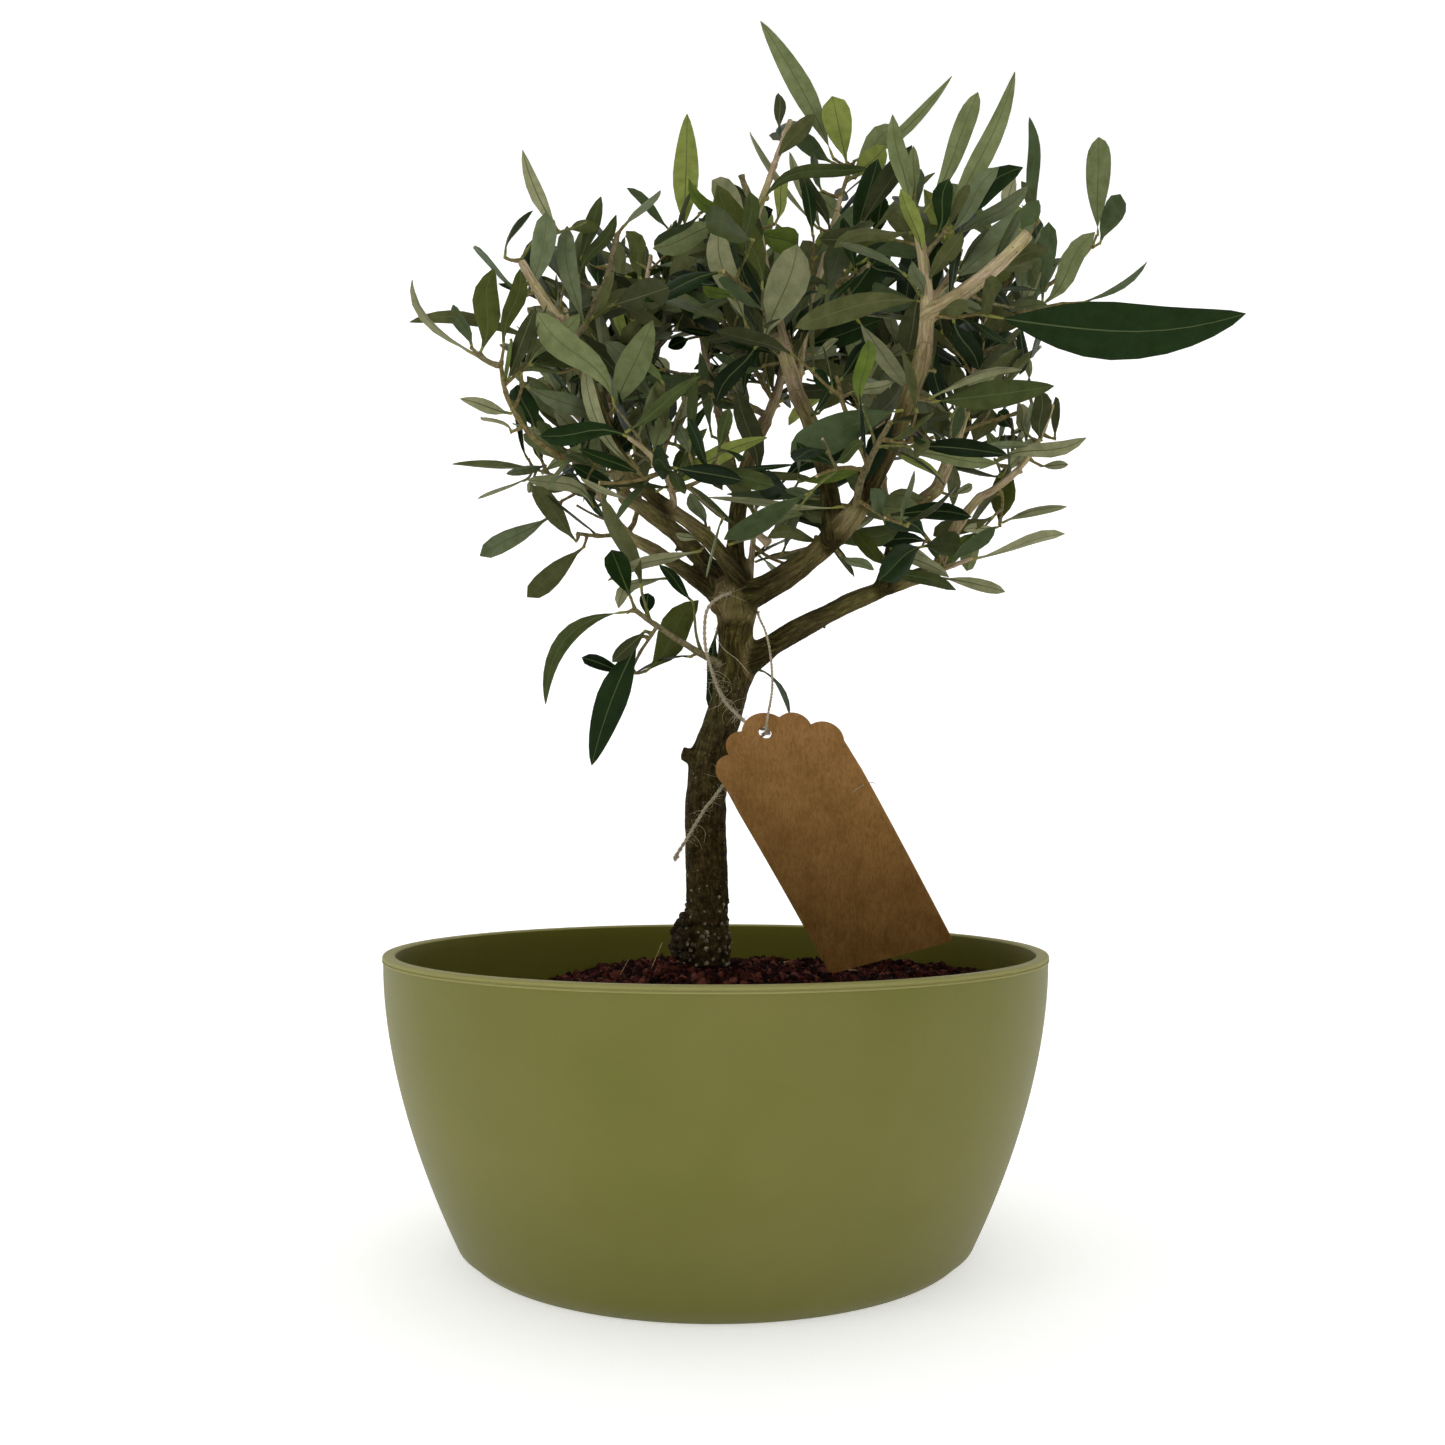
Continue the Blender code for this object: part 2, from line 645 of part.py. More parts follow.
def build_soil(mat):
    """Filling of granules: it fits the bowl and rises to the trunk."""
    edge = SOIL_RISE[-1][1]
    low = POT_FLOOR + CLEAR
    foot = POT_FLOOR + 4
    profile = [(0, low), (pot_inner(foot) - 3.5 - CLEAR * 2, low)]
    profile += [(pot_inner(z) - CLEAR * 2, z) for z in [foot + (edge - foot) * k / 2 for k in range(3)]]
    profile += [(r, z) for r, z in reversed(SOIL_RISE)]
    profile += [(0, SOIL_RISE[0][1])]
    verts, faces = turned(profile, POT_SIDES)
    tops = range(4 * POT_SIDES, (len(profile) - 2) * POT_SIDES)
    for i in tops:
        x, y, z = verts[i]
        r = math.hypot(x, y)
        pad = min(max((r - 17) / 12, 0), 1)
        shift = TRUNK[0][1] * (1 - min(max((r - 20) / 60, 0), 1))
        lump = SOIL_LUMP * math.sin(x * 0.19 + y * 0.05 + 3.7) * math.cos(y * 0.19 - x * 0.06 - 0.9)
        off = math.hypot(x + shift - SOIL_HEAP[0], y - SOIL_HEAP[1]) / SOIL_HEAP[3]
        heap = SOIL_HEAP[2] * math.exp(-off * off)
        verts[i] = Vector((x + shift, y, z + (lump - SOIL_LUMP) * pad + heap))
    verts[-1].x += TRUNK[0][1]
    return add("soil", (verts, faces), mat)


def trunk_shape(grow=0.0):
    """Tapering trunk with a flared foot, knots and a swollen head, cut flat at the soil."""
    verts, faces = [], []
    for i, (z, lean, radius) in enumerate(TRUNK):
        for k in range(TRUNK_SIDES):
            a = 360.0 * k / TRUNK_SIDES
            flute = 1 + 0.05 * math.sin(rad(3 * a + 40)) + 0.03 * math.cos(rad(2 * a - z * 2.5))
            foot = 1 + 0.06 * math.cos(rad(5 * a + 20)) * max(0, (122 - z) / 20)
            r = radius * flute * foot
            for height, azimuth, out, tall, wide in KNOTS:
                off = (a - azimuth + 180) % 360 - 180
                r += out * math.exp(-((z - height) / tall) ** 2 - (off / wide) ** 2)
            r += grow
            level = z - (grow if i == 0 else 0) + (grow if i == len(TRUNK) - 1 else 0)
            verts.append(Vector((lean + r * math.cos(rad(a)), r * math.sin(rad(a)), level)))
    rings = len(TRUNK)
    for i in range(rings - 1):
        for k in range(TRUNK_SIDES):
            a, b = i * TRUNK_SIDES + k, i * TRUNK_SIDES + (k + 1) % TRUNK_SIDES
            faces.append((a, b, b + TRUNK_SIDES, a + TRUNK_SIDES))
    faces.append(tuple(reversed(range(TRUNK_SIDES))))
    faces.append(tuple(range((rings - 1) * TRUNK_SIDES, rings * TRUNK_SIDES)))
    return verts, faces


def limb_paths():
    paths = {}
    for name, limb in LIMBS.items():
        azimuth, rise, length, turn, lift, r0, r1 = limb["grow"]
        start = limb.get("start")
        if start is None:
            tip = paths[limb["on"]][0]
            start = tip[-1] + (tip[-1] - tip[-2]).normalized() * -1.2
        steps = max(4, round(length / 9))
        path = arc(start, azimuth, rise, length, turn, lift, steps)
        swell = [1 + 0.07 * math.sin(2.1 * k + len(name)) for k in range(steps + 1)]
        paths[name] = (path, [r * s for r, s in zip(taper(r0, r1, steps + 1), swell)])
    return paths


def limb_shape(paths, name, grow=0.0):
    if name == "trunk":
        return trunk_shape(grow)
    path, radii = paths[name]
    return tube(path, radii, 8, grow)


def build_limbs(paths, bark, young):
    """Trunk, then every bough cut clear of the limbs before it."""
    made = [add("trunk", trunk_shape(), bark)]
    before = ["trunk"]
    for name in LIMBS:
        obj = add(name, limb_shape(paths, name), young)
        own = tree(limb_shape(paths, name))
        for other in before:
            grown = limb_shape(paths, other, CLEAR)
            if own.overlap(tree(grown)):
                cut(obj, add("cutter", grown))
        keep_largest(obj)
        made.append(obj)
        before.append(name)
    return made


def tag_shape():
    """Card outline with a scalloped head, as a thin slab in its own frame."""
    half = TAG_WIDE / 2
    outline = [(-half, 0), (half, 0)]
    middle = TAG_LOBES[0][1] - 3
    for k in range(37):
        a = 5.0 * k
        far = 0
        for cx, cy, r in TAG_LOBES:
            for flip in (cx, -cx):
                across = math.cos(rad(a)) * flip + math.sin(rad(a)) * (cy - middle)
                off = flip ** 2 + (cy - middle) ** 2 - across ** 2
                if off < r * r:
                    far = max(far, across + math.sqrt(r * r - off))
        outline.append((far * math.cos(rad(a)), middle + far * math.sin(rad(a))))
    n = len(outline)
    verts = [Vector((x, y, 0)) for x, y in outline] + [Vector((x, y, TAG_THICK)) for x, y in outline]
    faces = [tuple(reversed(range(n))), tuple(range(n, 2 * n))]
    faces += [(k, (k + 1) % n, (k + 1) % n + n, k + n) for k in range(n)]
    return verts, faces


def tag_matrix():
    turn = Matrix.Rotation(rad(TAG_LEAN[2]), 4, "Z") @ Matrix.Rotation(rad(TAG_LEAN[1]), 4, "Y")
    return Matrix.Translation(TAG_FOOT) @ turn @ Matrix.Rotation(rad(TAG_LEAN[0]), 4, "X")


def build_tag(mat):
    obj = add("tag", tag_shape(), mat)
    x, y, r = TAG_HOLE
    hole = [Vector((x, y, -2)), Vector((x, y, 3))]
    cut(obj, add("cutter", tube(hole, [r, r], 12)))
    place = tag_matrix()
    place.translation *= MM
    obj.matrix_world = place
    return obj


def twine_shapes():
    """Ring round the trunk under the fork, and the strands that hang from it."""
    ring = []
    for k in range(14):
        a = 360.0 * k / 14
        ring.append(Vector((7.9 + 10.9 * math.cos(rad(a)), 10.6 * math.sin(rad(a)), 238.4 - 0.8 * math.sin(rad(a)))))
    sides = 5
    verts, faces = [], []
    for k, point in enumerate(ring):
        out = (point - Vector((7.9, 0, point.z))).normalized()
        for m in range(sides):
            a = 2 * math.pi * m / sides
            verts.append(point + (out * math.cos(a) + Vector((0, 0, 1)) * math.sin(a)) * TWINE)
    for k in range(14):
        for m in range(sides):
            n, p = (k + 1) % 14, (m + 1) % sides
            faces.append((k * sides + m, n * sides + m, n * sides + p, k * sides + p))
    return [(verts, faces)] + [tube(s, [TWINE] * len(s), sides) for s in TWINE_STRANDS]


def seen(point):
    """Where a point shows from the front, on the upright plane through the pot's middle."""
    k = -EYE.y / (point.y - EYE.y)
    return EYE.x + (point.x - EYE.x) * k, EYE.z + (point.z - EYE.z) * k


def within_crown(point):
    """True where the crown has foliage: inside its outline and off the gaps of sky."""
    if abs(point.y) > CROWN_DEPTH:
        return False
    x, z = seen(point)
    for cx, cz, rx, rz in SKY:
        if ((x - cx) / rx) ** 2 + ((z - cz) / rz) ** 2 < 1:
            return False
    dx, dz = x - CROWN_MID[0], z - CROWN_MID[1]
    a = math.degrees(math.atan2(dz, dx)) % 360 / 30
    k = int(a) % 12
    reach = CROWN_REACH[k] + (CROWN_REACH[(k + 1) % 12] - CROWN_REACH[k]) * (a - int(a))
    return math.hypot(dx, dz) < reach * (1 - 0.25 * (point.y / CROWN_DEPTH) ** 2)


class Mass:
    """Twigs and leaves of one mass, each kept clear of the limbs and the other masses."""

    def __init__(self, name, plan, paths, world):
        self.name, self.plan, self.world = name, plan, world
        self.shapes, self.room, self.blades = [], [], []
        self.space = None
        parent = plan["on"]
        start = plan.get("start")
        if start is None:
            tip = paths[parent][0]
            start = tip[-1] + (tip[-1] - tip[-2]).normalized() * -1.0
        azimuth, rise, length, turn, lift, r0, r1 = plan["stem"]
        steps = max(3, round(length / 11))
        stem = arc(start, azimuth, rise, length, turn, lift, steps)
        self.twigs = [(stem, taper(r0, r1, steps + 1))]
        self.keep(tube(stem, self.twigs[0][1], 6 if r0 > 2.6 else 4))

    def keep(self, shape):
        self.shapes.append(shape)
        self.room.append(shape)
        self.space = None

    def own_tree(self):
        if self.space is None:
            self.space = tree(join(self.room))
        return self.space

    def clear(self, shape):
        probe = tree(shape)
        if probe.overlap(self.world["limbs"]):
            return False
        return not any(m is not self and probe.overlap(m.own_tree()) for m in self.world["masses"])

    def add_twigs(self):
        stem = self.twigs[0][0]
        reach = sum((b - a).length for a, b in zip(stem, stem[1:]))
        for t, azimuth, rise, length, turn, lift, r in self.plan["twigs"]:
            start, _ = along(stem, max(t, 3.5 / reach))
            steps = max(2, round(length / 12))
            for nudge in (0, 8, -8, 16, -16):
                path = arc(start, azimuth + nudge, rise, length, turn, lift, steps)
                radii = taper(r, r * 0.72, steps + 1)
                inner = [path[0].lerp(path[1], 0.55)] + path[1:]
                if self.clear(tube(inner, radii, 3, LEAF_ROOM)):
                    break
            else:
                path = path[:2]
                radii = radii[:2]
            self.twigs.append((path, radii))
            self.keep(tube(path, radii, 5 if r > 1.6 else 3))

    def try_leaf(self, root, azimuth, rise, length, width, arch, across, crossing):
        skip = min(5.0, length * 0.16)
        inner = root + heading(azimuth, rise + arch / 2) * skip
        probe = leaf(inner, azimuth, rise, length - skip, width, arch, across, LEAF_ROOM)
        if not self.clear(probe):
            return False
        blade = tree(probe)
        if not crossing and any(blade.overlap(other) for other in self.blades):
            return False
        self.blades.append(blade)
        self.keep(leaf(root, azimuth, rise, length, width, arch, across))
        return True

    def add_named_leaves(self):
        for which, t, azimuth, rise, length, width, arch in self.plan["leaves"]:
            root, _ = along(self.twigs[which][0], min(max(t, 0.09 if which == 0 else 0), 0.97))
            for nudge in (0, 6, -6, 12, -12, 20, -20, 30, -30):
                side = heading(azimuth + nudge, rise)
                across = side.cross(Vector((0, 1, 0.15))).normalized()
                if self.try_leaf(root, azimuth + nudge, rise, length, width, arch, across, True):
                    break

    def fill(self, seed):
        """Pairs of leaves up every shoot, each pair a quarter turn from the last."""
        rng = random.Random(seed)
        for which, (path, _) in enumerate(self.twigs):
            length = sum((b - a).length for a, b in zip(path, path[1:]))
            first = 0.35 if which == 0 else 0.25
            count = max(1, int(length * (1 - first) / PAIR_STEP))
            for k in range(count + 1):
                t = first + (0.98 - first) * k / max(1, count)
                root, ahead = along(path, t)
                sideways = ahead.orthogonal().normalized()
                sideways.rotate(Matrix.Rotation(rad(90 * k + rng.uniform(-25, 25) + 40 * which), 3, ahead))
                for sign in (1, -1):
                    long = rng.uniform(*LEAF_LONG) * (0.8 + 0.25 * t)
                    slim = rng.uniform(*LEAF_SLIM)
                    spread = rng.uniform(34, 62) - 14 * t
                    twist = rng.uniform(-30, 30)
                    arch = rng.uniform(-8, 32)
                    lot = rng.random()
                    if lot > self.plan.get("full", 0.8):
                        continue
                    way = ahead * math.cos(rad(spread)) + sideways * sign * math.sin(rad(spread))
                    across = ahead.cross(way).normalized()
                    across.rotate(Matrix.Rotation(rad(twist), 3, way))
                    azimuth = math.degrees(math.atan2(way.y, way.x))
                    rise = math.degrees(math.asin(max(-1, min(1, way.z))))
                    for size in (1.0, 0.82, 0.66):
                        span = long * size
                        if all(within_crown(root + way * span * part) for part in (0.5, 0.75, 1.0)):
                            if self.try_leaf(root, azimuth, rise, span, long * slim * size, arch, across, False):
                                break

    def build(self, mat, paths):
        objs = [add(f"{self.name}Piece", s) for s in self.shapes[1:]]
        obj = add(self.name, self.shapes[0], mat)
        fuse(obj, objs)
        own = tree(([v.co / MM for v in obj.data.vertices], [tuple(p.vertices) for p in obj.data.polygons]))
        beside = [limb_shape(paths, name, CLEAR) for name in ["trunk"] + list(LIMBS)]
        for mass in self.world["masses"]:
            if mass is self:
                break
            stem, radii = mass.twigs[0]
            beside.append(tube(stem, radii, 6, CLEAR))
        for grown in beside:
            if own.overlap(tree(grown)):
                cut(obj, add("cutter", grown))
        keep_largest(obj)
        return obj


def main():
    for obj in list(bpy.data.objects):
        bpy.data.objects.remove(obj)
    paint = {
        "pot": material("oliveGreenPlastic", (0.17, 0.165, 0.045), 0.42),
        "soil": material("volcanicGranules", (0.035, 0.012, 0.008), 0.95),
        "bark": material("oldBark", (0.065, 0.048, 0.028), 0.9),
        "young": material("youngBark", (0.15, 0.13, 0.075), 0.8),
        "leaf": material("oliveLeaf", (0.075, 0.095, 0.045), 0.55),
        "tag": material("kraftCard", (0.26, 0.13, 0.045), 0.85),
        "twine": material("jute", (0.42, 0.32, 0.2), 0.95),
    }
    build_pot(paint["pot"])
    build_soil(paint["soil"])
    paths = limb_paths()
    build_limbs(paths, paint["bark"], paint["young"])
    build_tag(paint["tag"])
    strands = [add("strand", s) for s in twine_shapes()]
    strands[0].name = "twine"
    strands[0].data.materials.append(paint["twine"])
    fuse(strands[0], strands[1:])
    keep_largest(strands[0])

    place = tag_matrix()
    card = tag_shape()
    fixed = [limb_shape(paths, n, 0.0) for n in ["trunk"] + list(LIMBS)]
    fixed += [([place @ v for v in card[0]], card[1])] + twine_shapes()
    world = {"limbs": tree(join(fixed)), "masses": []}
    for name, plan in MASSES.items():
        world["masses"].append(Mass(name, plan, paths, world))
    for mass in world["masses"]:
        mass.add_twigs()
    for mass in world["masses"]:
        mass.add_named_leaves()
    for mass in world["masses"]:
        mass.fill(mass.plan.get("seed", 7))
    for mass in world["masses"]:
        mass.build(paint["leaf"], paths)
    for obj in bpy.data.objects:
        obj.data.shade_smooth()
        obj.data.set_sharp_from_angle(angle=rad(38))


main()
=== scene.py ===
import math
import random

import bmesh
import bpy
import numpy as np
from mathutils import Matrix, Vector, geometry, noise
from mathutils.bvhtree import BVHTree


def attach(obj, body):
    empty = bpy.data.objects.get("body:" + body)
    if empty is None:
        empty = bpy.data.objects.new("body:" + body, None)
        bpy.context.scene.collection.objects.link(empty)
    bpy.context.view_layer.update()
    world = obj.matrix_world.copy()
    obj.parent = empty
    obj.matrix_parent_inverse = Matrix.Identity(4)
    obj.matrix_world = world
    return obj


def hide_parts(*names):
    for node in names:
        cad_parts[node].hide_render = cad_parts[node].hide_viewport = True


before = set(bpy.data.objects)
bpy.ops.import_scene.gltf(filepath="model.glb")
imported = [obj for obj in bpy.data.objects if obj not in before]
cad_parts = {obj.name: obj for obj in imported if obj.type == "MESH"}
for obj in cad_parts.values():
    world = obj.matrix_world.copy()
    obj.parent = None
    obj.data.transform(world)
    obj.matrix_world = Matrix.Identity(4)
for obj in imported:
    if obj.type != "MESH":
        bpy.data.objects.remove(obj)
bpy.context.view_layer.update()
mm = 0.001  # every size below is in millimetres and degrees


# shapes are points, faces and slots in millimetres; a slot is the number of the face's material

def rad(degrees):
    return math.radians(degrees)


def heading(azimuth, rise):
    return Vector((
        math.cos(rad(rise)) * math.cos(rad(azimuth)),
        math.cos(rad(rise)) * math.sin(rad(azimuth)),
        math.sin(rad(rise)),
    ))


def arc(start, azimuth, rise, length, turn, lift, steps):
    path = [Vector(start)]
    for k in range(steps):
        t = (k + 0.5) / steps
        path.append(path[-1] + heading(azimuth + turn * t, rise + lift * t) * (length / steps))
    return path


def along(path, t):
    k = min(int(t * (len(path) - 1)), len(path) - 2)
    u = t * (len(path) - 1) - k
    return path[k].lerp(path[k + 1], u), (path[k + 1] - path[k]).normalized()


def reachOf(path):
    return sum((b - a).length for a, b in zip(path, path[1:]))


def anglesOf(way):
    return math.degrees(math.atan2(way.y, way.x)), math.degrees(math.asin(max(-1, min(1, way.z))))


def sideOf(ahead, turn):
    side = ahead.orthogonal().normalized()
    side.rotate(Matrix.Rotation(turn, 3, ahead))
    return side


def splayed(ahead, side, spread):
    return ahead * math.cos(rad(spread)) + side * math.sin(rad(spread))


def smoothPath(points, perSpan):
    points = [Vector(p) for p in points]
    ends = [points[0] * 2 - points[1]] + points + [points[-1] * 2 - points[-2]]
    path = []
    for a, b, c, d in zip(ends, ends[1:], ends[2:], ends[3:]):
        for k in range(perSpan):
            t = k / perSpan
            square, cube = (2 * a - 5 * b + 4 * c - d) * t ** 2, (3 * b - a - 3 * c + d) * t ** 3
            path.append(0.5 * (2 * b + (c - a) * t + square + cube))
    return path + [points[-1]]


def taper(r0, r1, count):
    return [r0 + (r1 - r0) * k / max(1, count - 1) for k in range(count)]


def hoop(r, z, sides, shift=0.0):
    turns = [2 * math.pi * (k + shift) / sides for k in range(sides)]
    return [Vector((r * math.cos(a), r * math.sin(a), z)) for a in turns]


def bands(rings, sides, inward=False):  # the faces between closed rings of points
    faces = []
    for i in range(rings - 1):
        for k in range(sides):
            a, b = i * sides + k, i * sides + (k + 1) % sides
            faces.append((a, a + sides, b + sides, b) if inward else (a, b, b + sides, a + sides))
    return faces


def capped(rings, sides):
    return bands(rings, sides) + [tuple(reversed(range(sides))), tuple(range((rings - 1) * sides, rings * sides))]


def tube(path, radii, sides, slot=0, endSlot=None, wobble=0.0, seed=0):
    points = [Vector(p) for p in path]
    ahead = [(b - a).normalized() for a, b in zip(points, points[1:])]
    tangents = [ahead[0]] + [(a + b).normalized() for a, b in zip(ahead, ahead[1:])] + [ahead[-1]]
    side = tangents[0].orthogonal().normalized()
    verts = []
    for i, (point, tangent, radius) in enumerate(zip(points, tangents, radii)):
        side = (side - tangent * side.dot(tangent)).normalized()
        up = tangent.cross(side)
        for k in range(sides):
            a = 2 * math.pi * k / sides
            r = radius * (1 + wobble * math.sin(k * 2.4 + i * 1.7 + seed))
            verts.append(point + (side * math.cos(a) + up * math.sin(a)) * r)
    faces = capped(len(points), sides)
    slots = [slot] * len(faces)
    if endSlot is not None:
        slots[-1] = endSlot
    return verts, faces, slots


def turned(profile, sides, starts):  # a profile from axis to axis; starts are the rings where a new slot begins
    rings = profile[1:-1]
    verts = [v for r, z in rings for v in hoop(r, z, sides)]
    first, last = len(verts), len(verts) + 1
    verts += [Vector((0, 0, profile[0][1])), Vector((0, 0, profile[-1][1]))]
    faces = bands(len(rings), sides)
    slots = [sum(i >= start for start in starts) for i in range(len(rings) - 1) for _ in range(sides)]
    for k in range(sides):
        m, end = (k + 1) % sides, first - sides
        faces += [(first, m, k), (last, end + k, end + m)]
        slots += [0, sum(len(rings) > start for start in starts)]
    return verts, faces, slots


def tree(shape):
    return BVHTree.FromPolygons([tuple(v) for v in shape[0]], shape[1], epsilon=0.0)


def join(shapes):
    verts, faces, slots = [], [], []
    for v, f, s in shapes:
        base = len(verts)
        verts += v
        faces += [tuple(i + base for i in face) for face in f]
        slots += s
    return verts, faces, slots


def linked(name, data):
    piece = bpy.data.objects.new(name, data)
    bpy.context.scene.collection.objects.link(piece)
    return piece


def newPiece(name, shape, materials, sharp=40):
    verts, faces, slots = shape
    mesh = bpy.data.meshes.new(name)
    mesh.from_pydata([tuple(v * mm for v in vert) for vert in verts], [], faces)
    for mat in materials:
        mesh.materials.append(mat)
    mesh.polygons.foreach_set("material_index", slots)
    piece = linked(name, mesh)
    bm = bmesh.new()
    bm.from_mesh(mesh)
    bmesh.ops.recalc_face_normals(bm, faces=bm.faces)
    bm.to_mesh(mesh)
    bm.free()
    mesh.shade_smooth()
    mesh.set_sharp_from_angle(angle=rad(sharp))
    return piece


def bakeModifiers(piece):
    bpy.context.view_layer.update()
    graph = bpy.context.evaluated_depsgraph_get()
    mesh = bpy.data.meshes.new_from_object(piece.evaluated_get(graph))
    old = piece.data
    piece.modifiers.clear()
    piece.data = mesh
    bpy.data.meshes.remove(old)
    mesh.name = piece.name


def handOver(piece, slot, *nodes):
    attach(piece, "root")
    if nodes:
        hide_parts(*nodes)
    print(f"{piece.name}: {sum(len(p.vertices) - 2 for p in piece.data.polygons)} triangles")


# materials: a principled shader with the piece's own pattern in nodes

def newMaterial(name, colour, roughness, **sockets):
    mat = bpy.data.materials.new(name)
    mat.use_nodes = True
    shader = mat.node_tree.nodes["Principled BSDF"]
    shader.inputs["Base Color"].default_value = (*colour, 1)
    shader.inputs["Roughness"].default_value = roughness
    shader.inputs["Specular IOR Level"].default_value = 0.05
    for key, value in sockets.items():
        shader.inputs[key.replace("_", " ")].default_value = value
    mat.diffuse_color = (*colour, 1)
    return mat


def addNode(net, kind, sockets=None, **props):
    made = net.nodes.new(kind)
    for key, value in props.items():
        setattr(made, key, value)
    for key, value in (sockets or {}).items():
        if isinstance(value, bpy.types.NodeSocket):
            net.links.new(value, made.inputs[key])
        else:
            made.inputs[key].default_value = value
    return made


def noiseFac(net, vector, scale, detail=3.0, roughness=0.55, distortion=0.0):
    sockets = {"Vector": vector, "Scale": scale, "Detail": detail, "Roughness": roughness, "Distortion": distortion}
    return addNode(net, "ShaderNodeTexNoise", sockets).outputs["Fac"]


def stretched(net, vector, scale):
    return addNode(net, "ShaderNodeMapping", {"Vector": vector, "Scale": scale}).outputs["Vector"]


def rampOf(net, fac, stops):  # a stop's colour may be one number, for a grey
    made = addNode(net, "ShaderNodeValToRGB", {"Fac": fac})
    ramp = made.color_ramp
    while len(ramp.elements) < len(stops):
        ramp.elements.new(0.5)
    for element, (place, colour) in zip(ramp.elements, stops):
        element.position = place
        element.color = (*colour, 1) if isinstance(colour, tuple) else (colour, colour, colour, 1)
    return made.outputs["Color"]


def mixOf(net, fac, a, b, blend="MIX"):
    a, b = (value if isinstance(value, bpy.types.NodeSocket) else (*value, 1) for value in (a, b))
    return addNode(net, "ShaderNodeMix", {0: fac, 6: a, 7: b}, data_type="RGBA", blend_type=blend).outputs[2]


def tinted(net, colour, shade, share=1.0):
    return mixOf(net, share, colour, shade, "MULTIPLY")


def mathOf(net, operation, *values):
    return addNode(net, "ShaderNodeMath", dict(enumerate(values)), operation=operation).outputs[0]


def sumOf(net, *terms):  # each term is a value and its weight
    total = 0.0
    for value, weight in terms:
        total = mathOf(net, "MULTIPLY_ADD", value, weight, total)
    return total


def attributeOf(net, name, output="Fac"):
    return addNode(net, "ShaderNodeAttribute", attribute_name=name).outputs[output]


def setBump(mat, height, distance, strength=1.0):
    net = mat.node_tree
    bump = addNode(net, "ShaderNodeBump", {"Height": height, "Distance": distance * mm, "Strength": strength})
    net.links.new(bump.outputs["Normal"], net.nodes["Principled BSDF"].inputs["Normal"])


def wire(mat, socket, value):
    mat.node_tree.links.new(value, mat.node_tree.nodes["Principled BSDF"].inputs[socket])


def objectSpace(net):
    return addNode(net, "ShaderNodeTexCoord").outputs["Object"]


def heightIn(net, place):
    return addNode(net, "ShaderNodeSeparateXYZ", {"Vector": place}).outputs["Z"]


def grainy(name, colour, rough, grain, stops, bump, **sockets):  # one noise gives both colour and relief
    mat = newMaterial(name, colour, rough, **sockets)
    net = mat.node_tree
    fac = noiseFac(net, objectSpace(net), *grain)
    wire(mat, "Base Color", rampOf(net, fac, stops))
    setBump(mat, fac, *bump)
    return mat


# geometry nodes: named inputs, a seed where points are dealt out, and a material at the end

def newTree(name, inputs):
    net = bpy.data.node_groups.new(name, "GeometryNodeTree")
    face = net.interface
    for label, kind in [("Geometry", "Geometry")] + inputs:
        face.new_socket(label, in_out="INPUT", socket_type=f"NodeSocket{kind}")
    face.new_socket("Geometry", in_out="OUTPUT", socket_type="NodeSocketGeometry")
    return net, net.nodes.new("NodeGroupInput").outputs


def endTree(net, geometry, finish):
    real = addNode(net, "GeometryNodeRealizeInstances", {"Geometry": geometry})
    painted = addNode(net, "GeometryNodeSetMaterial", {"Geometry": real.outputs[0], "Material": finish})
    net.links.new(painted.outputs[0], net.nodes.new("NodeGroupOutput").inputs[0])
    return net


def chance(net, kind, low, high, **sockets):
    first, output = {"FLOAT_VECTOR": (0, 0), "FLOAT": (2, 1), "INT": (4, 2)}[kind]
    sockets = {first: low, first + 1: high, **sockets}
    return addNode(net, "FunctionNodeRandomValue", sockets, data_type=kind).outputs[output]


def anyTurn(net, low, high):
    return addNode(net, "FunctionNodeEulerToRotation", {0: chance(net, "FLOAT_VECTOR", low, high)}).outputs[0]


def dealtOut(net, given):
    sockets = {"Mesh": given["Geometry"], "Density": given["Density"], "Seed": given["Seed"]}
    return addNode(net, "GeometryNodeDistributePointsOnFaces", sockets).outputs


def swept(net, curve, profile):
    sockets = {"Curve": curve.outputs[0], "Profile Curve": profile.outputs[0], "Fill Caps": True}
    return addNode(net, "GeometryNodeCurveToMesh", sockets).outputs[0]


def scaledBy(net, vector, scale):
    return addNode(net, "ShaderNodeVectorMath", {0: vector, "Scale": scale}, operation="SCALE").outputs[0]


def grown(piece, net, values):
    mod = piece.modifiers.new(net.name, "NODES")
    mod.node_group = net
    for item in net.interface.items_tree:
        if item.in_out == "INPUT" and item.name in values:
            mod[item.identifier] = values[item.name]
    bakeModifiers(piece)
    piece.data.shade_smooth()


# camera at the photograph's angle: a little above the rim, tipped slightly up

cameraPlan = dict(place=(2.5, -540.0, 157.8), pitch=4.08, lens=34.6)


def buildCamera(plan):
    data = bpy.data.cameras.new("camera")
    data.lens = plan["lens"]
    data.sensor_width = 36
    camera = linked("camera", data)
    camera.location = [v * mm for v in plan["place"]]
    camera.rotation_euler = (rad(90 + plan["pitch"]), 0, 0)
    bpy.context.scene.camera = camera


# studio: a pale floor that sweeps up all round, an even sky and two soft lights

studioPlan = dict(
    floorRadius=1600.0, bend=900.0, wall=1200.0, sides=96, steps=12, colour=(0.86, 0.86, 0.855), glow=0.45,
    sky=(1.0, 1.0, 1.0), skyStrength=0.15,
    lights=[  # name, place, aimed at, size, watts
        ("overheadLight", (0, 250, 1900), (0, 0, 0), 2000, 12.5),
        ("windowLight", (-1100, -900, 900), (0, 0, 260), 700, 2.6),
    ],
)


